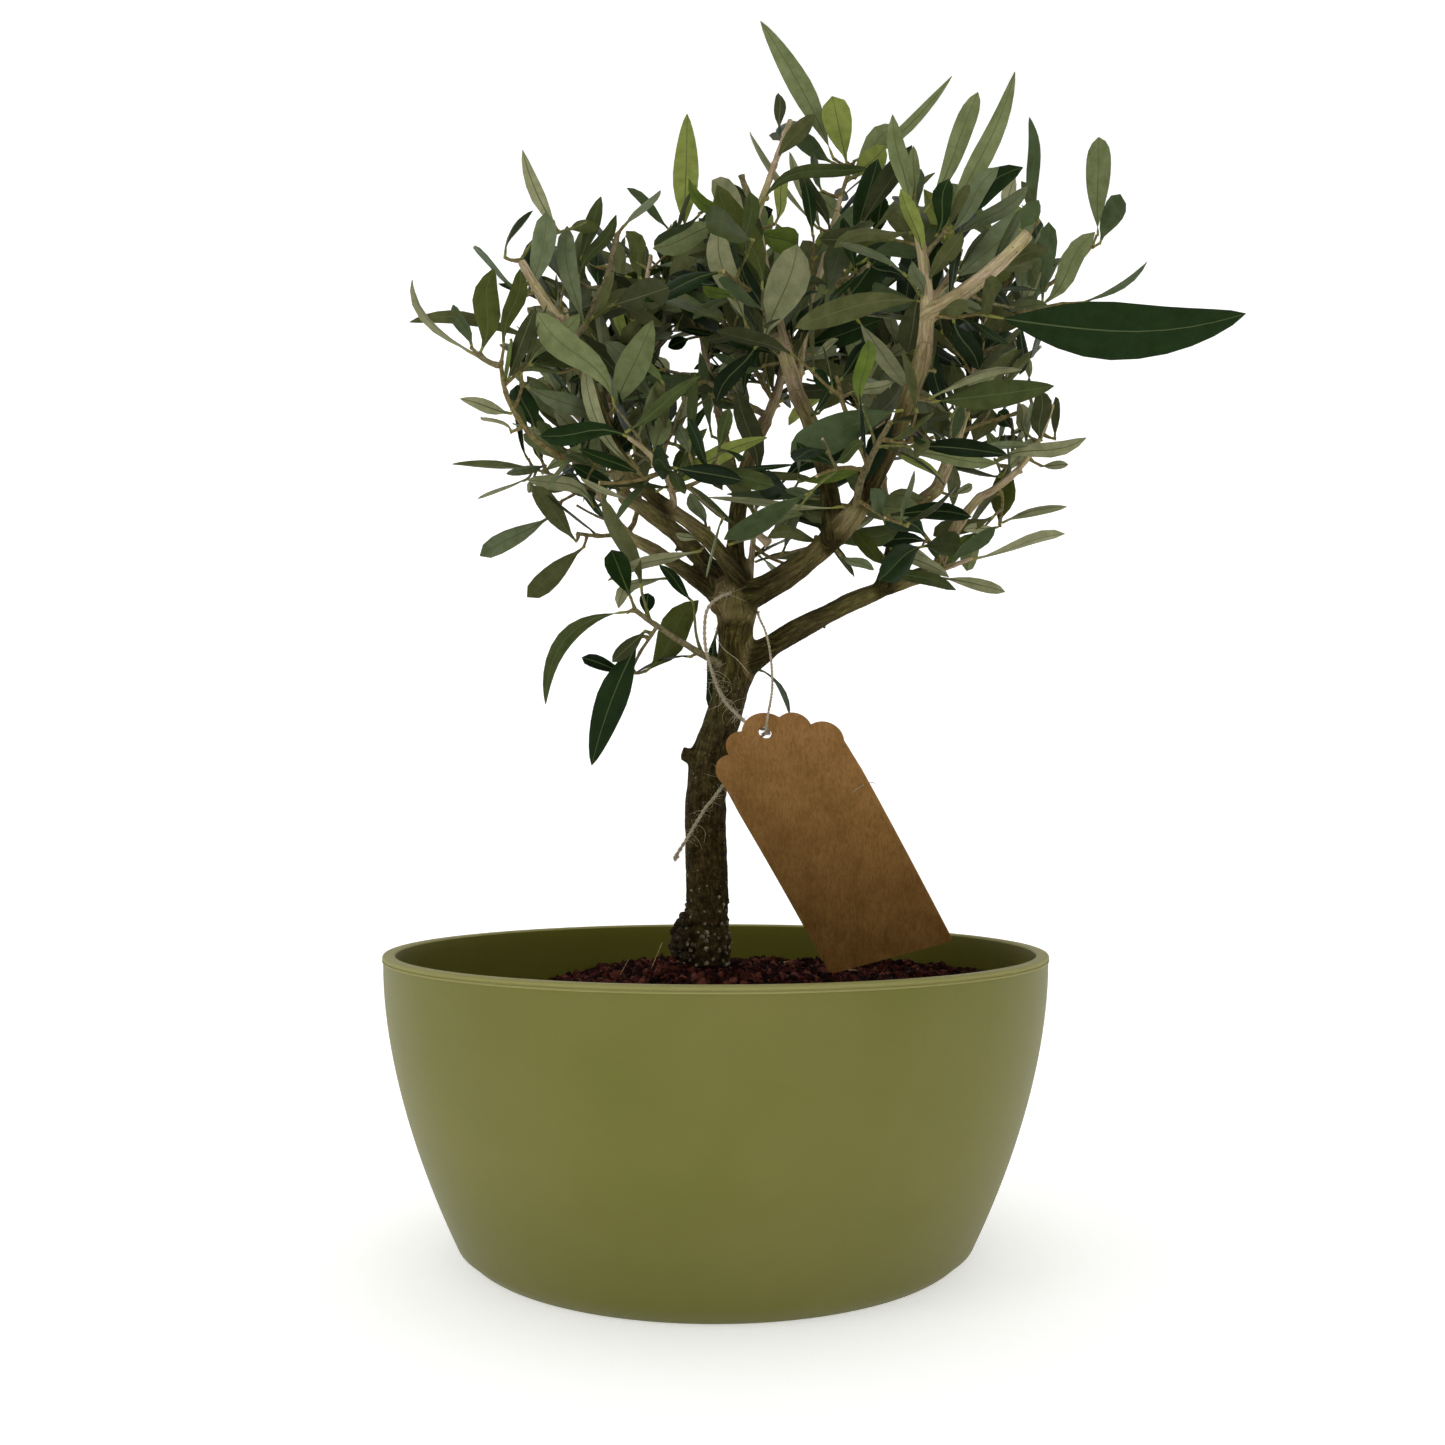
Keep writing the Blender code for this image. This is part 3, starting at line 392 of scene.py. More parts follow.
def buildStudio(plan):
    flat, bend, sides = plan["floorRadius"], plan["bend"], plan["sides"]
    profile = [(flat * k / 4, 0) for k in range(1, 5)]
    for k in range(1, plan["steps"] + 1):
        a = rad(90 * k / plan["steps"])
        profile.append((flat + bend * math.sin(a), bend * (1 - math.cos(a))))
    profile.append((flat + bend, bend + plan["wall"]))
    verts = [v for r, z in profile for v in hoop(r, z, sides)] + [Vector((0, 0, 0))]
    faces = bands(len(profile), sides) + [(len(verts) - 1, k, (k + 1) % sides) for k in range(sides)]
    glow = dict(Emission_Color=(1, 1, 1, 1), Emission_Strength=plan["glow"])
    paint = newMaterial("palePaper", plan["colour"], 0.9, **glow)
    newPiece("studioFloor", (verts, faces, [0] * len(faces)), [paint], sharp=80)
    for name, place, aim, size, watts in plan["lights"]:
        data = bpy.data.lights.new(name, "AREA")
        data.shape = "DISK"
        data.size = size * mm
        data.energy = watts
        light = linked(name, data)
        light.location = [v * mm for v in place]
        light.rotation_euler = (Vector(place) - Vector(aim)).to_track_quat("Z", "Y").to_euler()
    world = bpy.data.worlds.new("sky")
    world.use_nodes = True
    background = world.node_tree.nodes["Background"].inputs
    background["Color"].default_value = (*plan["sky"], 1)
    background["Strength"].default_value = plan["skyStrength"]
    bpy.context.scene.world = world
    bpy.context.scene.view_settings.view_transform = "Standard"


# pot: a smooth moulded bowl with a turned lip and a fine groove in it

potPlan = dict(
    top=109.3, rim=125.0, wallTop=124.6, foot=91.2, belly=30.0, curve=1.75, lip=3.3, lipIn=120.4, band=2.5,
    wall=2.4, floor=3.0, sides=192, steps=26, insideSteps=18,
    # outside is the plastic's own colour; the inside is the same plastic painted darker, as painted shade in the bowl
    outside=((0.134, 0.136, 0.024), (0.163, 0.153, 0.037)), inside=((0.084, 0.080, 0.008), (0.096, 0.091, 0.012)),
    # the lip and rim top are painted lighter than the wall, as painted light falling on them from above
    lipLitColour=((0.236, 0.222, 0.074), (0.262, 0.246, 0.088)),
)


def potRadius(z):
    plan = potPlan
    return plan["wallTop"] - plan["belly"] * max(0.0, 1 - z / (plan["top"] - plan["lip"])) ** plan["curve"]


def potInner(z):
    return min(potRadius(z) - potPlan["wall"], potPlan["lipIn"] - 0.5)


def potPlastic(name, low, high, rough, gloss):
    mat = newMaterial(name, low, rough, Specular_IOR_Level=gloss)
    net = mat.node_tree
    place = objectSpace(net)
    cloud = noiseFac(net, place, 14, 4)
    speck = noiseFac(net, place, 900, 2)
    scuff = noiseFac(net, stretched(net, place, (60, 60, 520)), 1.0, 5, 0.7)
    colour = rampOf(net, cloud, [(0.3, low), (0.7, high)])
    pale = rampOf(net, scuff, [(0.66, 0), (0.8, 0.16)])
    # painted shade: the plastic's colour darkens towards the foot, mottled by the cloud noise
    footShade = rampOf(net, sumOf(net, (heightIn(net, place), 15.0), (cloud, 0.2)), [(0.1, 0.80), (0.9, 1)])
    wire(mat, "Base Color", tinted(net, mixOf(net, pale, colour, (0.30, 0.30, 0.13)), footShade))
    wire(mat, "Roughness", mathOf(net, "MULTIPLY_ADD", cloud, 0.2, rough - 0.1))
    setBump(mat, mathOf(net, "MULTIPLY_ADD", speck, 0.4, scuff), 0.03, 0.6)
    return mat


def buildPot(plan):
    lip, foot, rim, top, inner = plan["top"] - plan["band"], plan["foot"], plan["rim"], plan["top"], plan["lipIn"]
    profile = [(0, 0.6), (foot - 9, 0.6), (foot - 7.6, 0), (foot - 1.2, 0)]
    profile += [(foot - 0.3, 0.12), (foot + 0.6, 0.5), (foot + 1.6, 1.15), (foot + 2.6, 2.1)]
    rises = [4.6 + (lip - 0.5 - 4.6) * (k / plan["steps"]) ** 1.1 for k in range(plan["steps"] + 1)]
    profile += [(potRadius(z), z) for z in rises]
    lipStart = len(profile)
    profile += [(rim - 0.42, lip - 0.1), (rim - 0.12, lip + 0.05), (rim, lip + 0.2), (rim, lip + 0.6)]
    groove = [(0.1, 0.7), (0.42, 0.8), (0.42, 1.15), (0.12, 1.25)]
    profile += [(rim - inward, lip + up) for inward, up in groove]
    profile += [(rim, top - 0.9), (rim - 0.12, top - 0.5), (rim - 0.4, top - 0.18), (rim - 0.9, top)]
    profile += [(inner + 0.7, top), (inner + 0.2, top - 0.2), (inner, top - 0.7), (inner - 0.4, top - 4.0)]
    innerStart = len(profile) - 3
    low, high = plan["floor"] + 4, top - 6
    levels = [high - (high - low) * k / plan["insideSteps"] for k in range(plan["insideSteps"] + 1)]
    profile += [(potInner(z), z) for z in levels]
    profile += [(potInner(low) - 1.2, low - 2.4), (potInner(low) - 3.5, plan["floor"]), (0, plan["floor"])]
    paints = [
        potPlastic("olivePlastic", *plan["outside"], 0.48, 0.16),
        # the lip, painted lighter as the light on it
        potPlastic("oliveLipLit", *plan["lipLitColour"], 0.55, 0.06),
        # the inside, painted darker as shade
        potPlastic("oliveInsideShaded", *plan["inside"], 0.6, 0.06),
    ]
    bowl = newPiece("bowl", turned(profile, plan["sides"], (lipStart, innerStart)), paints, sharp=50)
    handOver(bowl, "pot", "pot")


# soil: a low bed of volcanic granules with a mound at the trunk

soilPlan = dict(
    rise=[(16, 102.0), (25, 100.2), (38, 97.2), (50, 95.9), (63, 95.3), (77, 95.1), (91, 94.9), (106, 94.8)],
    shift=-5.0, field=114.5, lump=1.1, heap=(46.0, 20.0, 0.9, 15.0), grit=0.45, seed=4,
    scattered=[  # name, count, sizes, detail
        ("soilFine", 6400, (0.75, 1.5), 1), ("soilCoarse", 2300, (1.3, 2.5), 2),
    ],
    tilt=[  # how far the bed lies lower or higher, across the pot
        (-80, -7.0), (-68, -5.5), (-50, -2.0), (-35, 0.0), (60, 0.0), (95, 2.2),
    ],
    sides=160, rings=74, gap=0.6, levels=5, wallTop=84.0, groundSides=120, groundRings=44,
)


def soilTop(x, y):
    plan = soilPlan
    shift = plan["shift"] * (1 - min(max((math.hypot(x, y) - 20) / 60, 0), 1))
    u = x - shift
    r = math.hypot(u, y)
    rows = plan["rise"]
    z = rows[0][1] if r <= rows[0][0] else rows[-1][1]
    for (r0, z0), (r1, z1) in zip(rows, rows[1:]):
        if r0 < r <= r1:
            z = z0 + (z1 - z0) * (r - r0) / (r1 - r0)
    pad = min(max((r - 17) / 12, 0), 1)
    lump = math.sin(u * 0.19 + y * 0.05 + 3.7) * math.cos(y * 0.19 - u * 0.06 - 0.9)
    hx, hy, rise, reach = plan["heap"]
    heap = rise * math.exp(-((x - hx) ** 2 + (y - hy) ** 2) / reach ** 2)
    tilted = float(np.interp(x, *zip(*plan["tilt"])))
    level = z + tilted + plan["lump"] * (lump - 1) * pad + heap
    return level + plan["grit"] * pad * noise.noise(Vector((x, y, 3)) * 0.3)


def granuleFinish():
    mat = newMaterial("volcanicGranules", (0.03, 0.009, 0.006), 0.9)
    net = mat.node_tree
    grit = noiseFac(net, objectSpace(net), 1400, 3, 0.7)
    colour = rampOf(net, attributeOf(net, "tint"), [
        (0.0, (0.005, 0.0017, 0.0013)), (0.4, (0.018, 0.0046, 0.0034)), (0.76, (0.060, 0.0135, 0.0092)),
        (1.0, (0.150, 0.050, 0.034)),
    ])
    wire(mat, "Base Color", tinted(net, colour, rampOf(net, grit, [(0.35, 0.45), (0.7, (1.25, 1.2, 1.15))])))
    setBump(mat, grit, 0.35, 0.9)
    return mat


def scatterTree():
    inputs = [
        ("Density", "Float"), ("Smallest", "Float"), ("Largest", "Float"), ("Detail", "Int"), ("Seed", "Int"),
        ("Finish", "Material"),
    ]
    net, given = newTree("granuleScatter", inputs)
    spread = dealtOut(net, given)
    shapes = net.nodes.new("GeometryNodeJoinGeometry")
    for k in range(4):  # four lumpy stones to pick from
        ball = addNode(net, "GeometryNodeMeshIcoSphere", {"Radius": 1.0, "Subdivisions": given["Detail"]})
        place = net.nodes.new("GeometryNodeInputPosition").outputs[0]
        sockets = {0: place, 1: (3.1 * k, 1.7 * k, 2.3)}
        moved = addNode(net, "ShaderNodeVectorMath", sockets, operation="ADD").outputs[0]
        lump = addNode(net, "ShaderNodeTexNoise", {"Vector": moved, "Scale": 1.3, "Detail": 1.0}).outputs["Fac"]
        sockets = {"Value": lump, "From Min": 0.25, "From Max": 0.75, "To Min": 0.45, "To Max": 1.25}
        swell = addNode(net, "ShaderNodeMapRange", sockets).outputs[0]
        sockets = {"Geometry": ball.outputs["Mesh"], "Position": scaledBy(net, place, swell)}
        stone = addNode(net, "GeometryNodeSetPosition", sockets)
        asOne = addNode(net, "GeometryNodeGeometryToInstance", {0: stone.outputs[0]})
        net.links.new(asOne.outputs[0], shapes.inputs[0])
    size = chance(net, "FLOAT", given["Smallest"], given["Largest"], Seed=given["Seed"])
    squash = chance(net, "FLOAT_VECTOR", (0.75, 0.75, 0.6), (1.2, 1.2, 1.0))
    stones = addNode(net, "GeometryNodeInstanceOnPoints", {
        "Points": spread["Points"], "Instance": shapes.outputs[0], "Pick Instance": True,
        "Instance Index": chance(net, "INT", 0, 3), "Scale": scaledBy(net, squash, size),
        "Rotation": anyTurn(net, (0, 0, 0), (6.28, 6.28, 6.28)),
    })
    sockets = {"Geometry": stones.outputs[0], "Name": "tint", "Value": chance(net, "FLOAT", 0.0, 1.0)}
    shaded = addNode(net, "GeometryNodeStoreNamedAttribute", sockets, data_type="FLOAT", domain="INSTANCE")
    return endTree(net, shaded.outputs[0], given["Finish"])


def buildSoil(plan):
    low, foot = potPlan["floor"] + 0.3, potPlan["floor"] + 4
    sides, rings = plan["sides"], plan["rings"]
    edge = potInner(94) - plan["gap"]
    verts = []
    for i in range(1, rings + 1):
        for v in hoop(edge * (i / rings) ** 0.9, 0, sides, 0.5 * (i % 2)):
            v.z = soilTop(v.x, v.y) - 0.5 + plan["grit"] * noise.noise(Vector((v.x, v.y, 9)) * 0.8)
            verts.append(v)
    for k in range(plan["levels"], -1, -1):
        z = foot + (plan["wallTop"] - foot) * k / plan["levels"]
        verts += hoop(potInner(z) - plan["gap"], z, sides)
    count = len(verts)
    verts += [Vector((plan["shift"], 0, 101.5)), Vector((0, 0, low))]
    faces = bands(count // sides, sides, True)
    for k in range(sides):
        m, end = (k + 1) % sides, count - sides
        faces += [(count, k, m), (count + 1, end + m, end + k)]
    stops = [(0.35, (0.006, 0.003, 0.002)), (0.7, (0.032, 0.011, 0.007))]
    bedFinish = grainy("soilBed", (0.014, 0.006, 0.004), 0.95, (420, 4, 0.65), stops, (0.8, 1.0))
    handOver(newPiece("soilBed", (verts, faces, [0] * len(faces)), [bedFinish], sharp=80), "soil", "soil")
    sides, rings = plan["groundSides"], plan["groundRings"]
    ground = [v for i in range(1, rings + 1) for v in hoop(plan["field"] * i / rings, 0, sides)]
    for v in ground:
        v.z = soilTop(v.x, v.y) - 0.1
    faces = bands(rings, sides, True)
    net, finish = scatterTree(), granuleFinish()
    area = math.pi * (plan["field"] * mm) ** 2
    for name, count, (smallest, largest), detail in plan["scattered"]:
        piece = newPiece(name, (ground, faces, [0] * len(faces)), [], sharp=80)
        grown(piece, net, {
            "Density": count / area, "Smallest": smallest * mm, "Largest": largest * mm, "Detail": detail,
            "Seed": plan["seed"] + detail, "Finish": finish,
        })
        piece.data.set_sharp_from_angle(angle=rad(50))
        handOver(piece, "soil")


# tree: limbs first, then masses of foliage that grow on from them

trunkPlan = dict(
    rows=[  # height, sideways lean, radius
        (102.3, -5.0, 11.6), (106, -4.8, 11.0), (112, -4.3, 10.4), (119, -4.0, 9.3), (127, -3.5, 8.0),
        (140, -3.9, 7.8), (154, -4.4, 7.7), (168, -4.2, 7.8), (180, -2.8, 7.8), (190, -0.4, 7.7),
        (199, 2.8, 7.4), (208, 5.2, 7.0), (217, 6.7, 7.3), (226, 7.3, 6.7), (235, 7.6, 7.2),
        (241, 7.8, 8.6), (246, 7.8, 8.9), (250, 7.8, 7.6), (253, 7.8, 4.6),
    ],
    knots=[  # height, azimuth, how far it stands out, half height, half width
        (113, 190, 4.2, 8, 45), (108, 20, 1.8, 6, 35), (184, 182, 1.6, 4.0, 34), (217, 20, 1.6, 7, 40),
    ],
    sides=44, rise=1.6,
)

limbs = {  # what they spring from, start, then azimuth, rise, length, turn, lift and the two radii
    "boughLeft": dict(on="trunk", start=(4, 3, 243.5), grow=(144, 39, 62, -8, -13, 3.6, 2.4)),
    "boughBackLeft": dict(on="trunk", start=(5, 3, 247.5), grow=(127, 46, 83, 13, -17, 4.3, 3.3)),
    "boughFrontLeft": dict(on="trunk", start=(10.5, -2.5, 247), grow=(-130, 54, 45, -24, -30, 4.4, 3.9)),
    "boughFrontLeftMid": dict(on="boughFrontLeft", grow=(-152, 25, 31, 4, 28, 3.8, 3.7)),
    "boughFrontLeftRise": dict(on="boughFrontLeftMid", grow=(-152, 62, 43, -18, 12, 3.6, 3.1)),
    "boughLeader": dict(on="trunk", start=(7.8, 3.5, 248), grow=(98, 73, 87, -53, -16, 3.9, 3.0)),
    "boughLeaderSide": dict(on="boughLeader", start=(9.6, 20.4, 289), grow=(109, 58, 60, -4, -3, 2.4, 1.9)),
    "boughRight": dict(on="trunk", start=(11.5, -3, 245), grow=(-31, 16, 58, -10, 26, 5.2, 5.0)),
    "boughRightRise": dict(on="boughRight", grow=(-39, 50, 64, -19, 15, 4.6, 3.3)),
    "boughCentre": dict(on="boughRight", start=(44, -27, 261.5), grow=(90, 78, 67, 64, -16, 4.0, 3.3)),
    "boughLowRight": dict(on="trunk", start=(8.5, 0, 218), grow=(13, 35, 96, 4, -17, 4.9, 3.0)),
    "boughOuterRight": dict(on="boughLowRight", grow=(43, 63, 44, -15, -21, 2.9, 2.0)),
    "boughRightRiser": dict(on="boughLowRight", start=(67.5, 13, 250.5), grow=(60, 72, 62, -26, -40, 3.3, 3.0)),
    "boughCentreRiser": dict(on="boughRightRiser", start=(73.3, 22.5, 273), grow=(103, 49, 61, -22, 11, 2.6, 2.0)),
}

# stem is azimuth, rise, length, turn, lift and two radii; twigs are share along the stem,
# azimuth, rise, length, turn, lift and radius. A separate script fitted these to points read
# off the photo, and chose the seeds by how well the outline met it.
masses = {
    "foliageLowLeft": dict(on="trunk", stem=(-154, 23, 42, 0, 9, 1.5, 0.9), seed=10, start=(3, -3.5, 218), twigs=[
        (0.17, 174, -8, 24, -14, -23, 0.7), (0.75, 144, -48, 22, -3, -5, 0.7),
    ]),
    "foliageLeft": dict(on="boughLeft", stem=(153, 42, 42, 0, 30, 2, 1.1), seed=14, twigs=[
        (0, -158, -16, 22, -12, 25, 1), (0.08, 57, 51, 23, 56, 18, 1.3), (0.75, -164, -27, 17, 2, -4, 0.8),
        (0.67, 162, 23, 32, 12, -4, 0.8),
    ]),
    "foliageLeftOut": dict(on="boughFrontLeftMid", stem=(-145, -32, 65, -8, 121, 1.2, 0.8), seed=5, twigs=[
        (0.75, 38, 55, 21, 84, 19, 0.7),
    ]),
    "foliageLeftTip": dict(on="boughFrontLeftRise", stem=(-161, 48, 37, 5, 12, 3, 1.6), seed=7, twigs=[
        (0.08, 127, 67, 15, 0, 0, 1.9), (0.08, 53, 49, 51, -22, 33, 1.4), (1, -1, 68, 17, 22, -25, 0.6),
    ]),
    "foliageBackLeft": dict(on="boughBackLeft", stem=(131, 65, 81, 0, 23, 3.1, 2.5), seed=13, twigs=[
        (0.5, 17, 49, 92, 23, 40, 1.6), (0.58, -24, 60, 68, 0, 21, 1.6), (0.33, 155, 35, 47, -2, 18, 1.1),
        (0.5, 73, 47, 59, 10, -1, 1.2),
    ]),
    "foliageFrontLeft": dict(on="boughFrontLeft", stem=(-83, 35, 41, -68, -10, 1.6, 1), seed=5, twigs=[
        (0.25, -51, -7, 26, 13, 41, 0.9), (0.5, -149, -29, 27, -1, 26, 0.9), (0.58, 55, 61, 33, 5, 2, 0.9),
    ]),
    "foliageLeaderSide": dict(on="boughLeaderSide", stem=(118, 64, 57, 0, 10, 1.9, 1.1), seed=5, twigs=[
        (0.25, 34, 35, 63, 9, 57, 1.2), (0.08, -159, 43, 25, -11, -38, 1), (0.33, 95, 42, 51, 5, 2, 1.1),
    ]),
    "foliageLeader": dict(on="boughLeader", stem=(42, 58, 48, 5, 28, 2.6, 1.2), seed=3, twigs=[
        (0.08, -178, 28, 31, 18, -4, 1.4), (0.25, -158, 57, 39, 14, -13, 1.2), (0.58, 38, 46, 43, 8, 19, 1.1),
    ]),
    "foliageCentre": dict(on="boughCentre", stem=(164, 74, 77, 60, 4, 3.3, 2.2), seed=11, twigs=[
        (0.83, -152, 23, 25, -4, 44, 1.7), (1, -176, 69, 12, 43, -4, 1.5), (0.92, 37, 69, 50, 1, -1, 1.6),
        (0.33, -117, -14, 26, 5, -26, 0.9), (0.5, -115, -9, 45, -1, 8, 1.1),
    ]),
    "foliageCentreTop": dict(on="boughCentre", stem=(86, 64, 96, -84, 13, 2, 1.2), seed=6, twigs=[
        (0.92, 23, 75, 25, 34, -14, 1), (0.75, 35, 51, 36, -5, -30, 1), (0.58, -70, -20, 58, -9, 11, 1.1),
    ]),
    "foliageRightTop": dict(on="boughRightRise", stem=(-42, 81, 49, -171, -1, 3, 1.7), seed=6, twigs=[
        (0.25, -32, 17, 44, -7, 21, 3.3), (0.33, 25, 42, 29, 15, 28, 1.8), (0.67, -19, 41, 12, -10, 7, 1.1),
        (0.25, -33, -20, 21, -8, 18, 0.9),
    ]),
    "foliageRight": dict(on="boughRightRiser", stem=(27, 63, 87, 5, 16, 3, 1.5), seed=2, twigs=[
        (0.92, 13, 61, 54, -3, 4, 1.2), (1, 15, 18, 62, -6, 31, 1.1), (0.92, -18, 21, 44, 7, -24, 0.9),
        (0.75, -2, 36, 17, -19, -35, 1.5), (0.33, 33, 24, 42, -17, -6, 1.1), (0.58, 84, 46, 58, 3, 3, 1.2),
        (0.17, 125, 44, 40, 1, -1, 1.1),
    ]),
    "foliageOuter": dict(on="boughOuterRight", stem=(23, 26, 59, -5, 48, 1.9, 0.9), seed=0, twigs=[
        (0.17, 50, -29, 21, 58, -28, 0.8), (0.25, 54, 49, 43, 38, 7, 1),
    ]),
    "foliageLowRight": dict(on="boughLowRight", stem=(-49, 4, 17, 25, 14, 1.6, 0.8), seed=9, twigs=[
        (0.25, -125, 37, 32, -1, -24, 0.8),
    ]),
    "foliageFrontRight": dict(on="boughRight", stem=(-96, 25, 44, 44, 17, 1.5, 0.9), seed=14, twigs=[
        (0.5, -139, 5, 25, -2, -38, 0.8), (0.83, -35, -25, 21, 0, 35, 0.8), (0.17, -42, -38, 25, 6, 14, 0.8),
        (0.58, 143, 64, 40, -36, 0, 1),
    ]),
    "foliageCentreBack": dict(on="boughCentreRiser", stem=(83, 70, 53, -27, 3, 2, 1.2), seed=1, twigs=[
        (0.17, 138, 37, 41, -3, 30, 1.1), (0.58, 45, 30, 44, 11, 42, 1.1), (0.08, 67, 34, 58, 28, 8, 1.1),
    ]),
    "foliageLowCentre": dict(on="trunk", stem=(75, 75, 49, -22, 8, 1.6, 0.8), seed=5, start=(13, 4, 248), twigs=[
        (0.42, -26, -41, 19, -8, 20, 0.8), (0.67, -35, 13, 39, 12, -26, 0.8),
    ]),
}
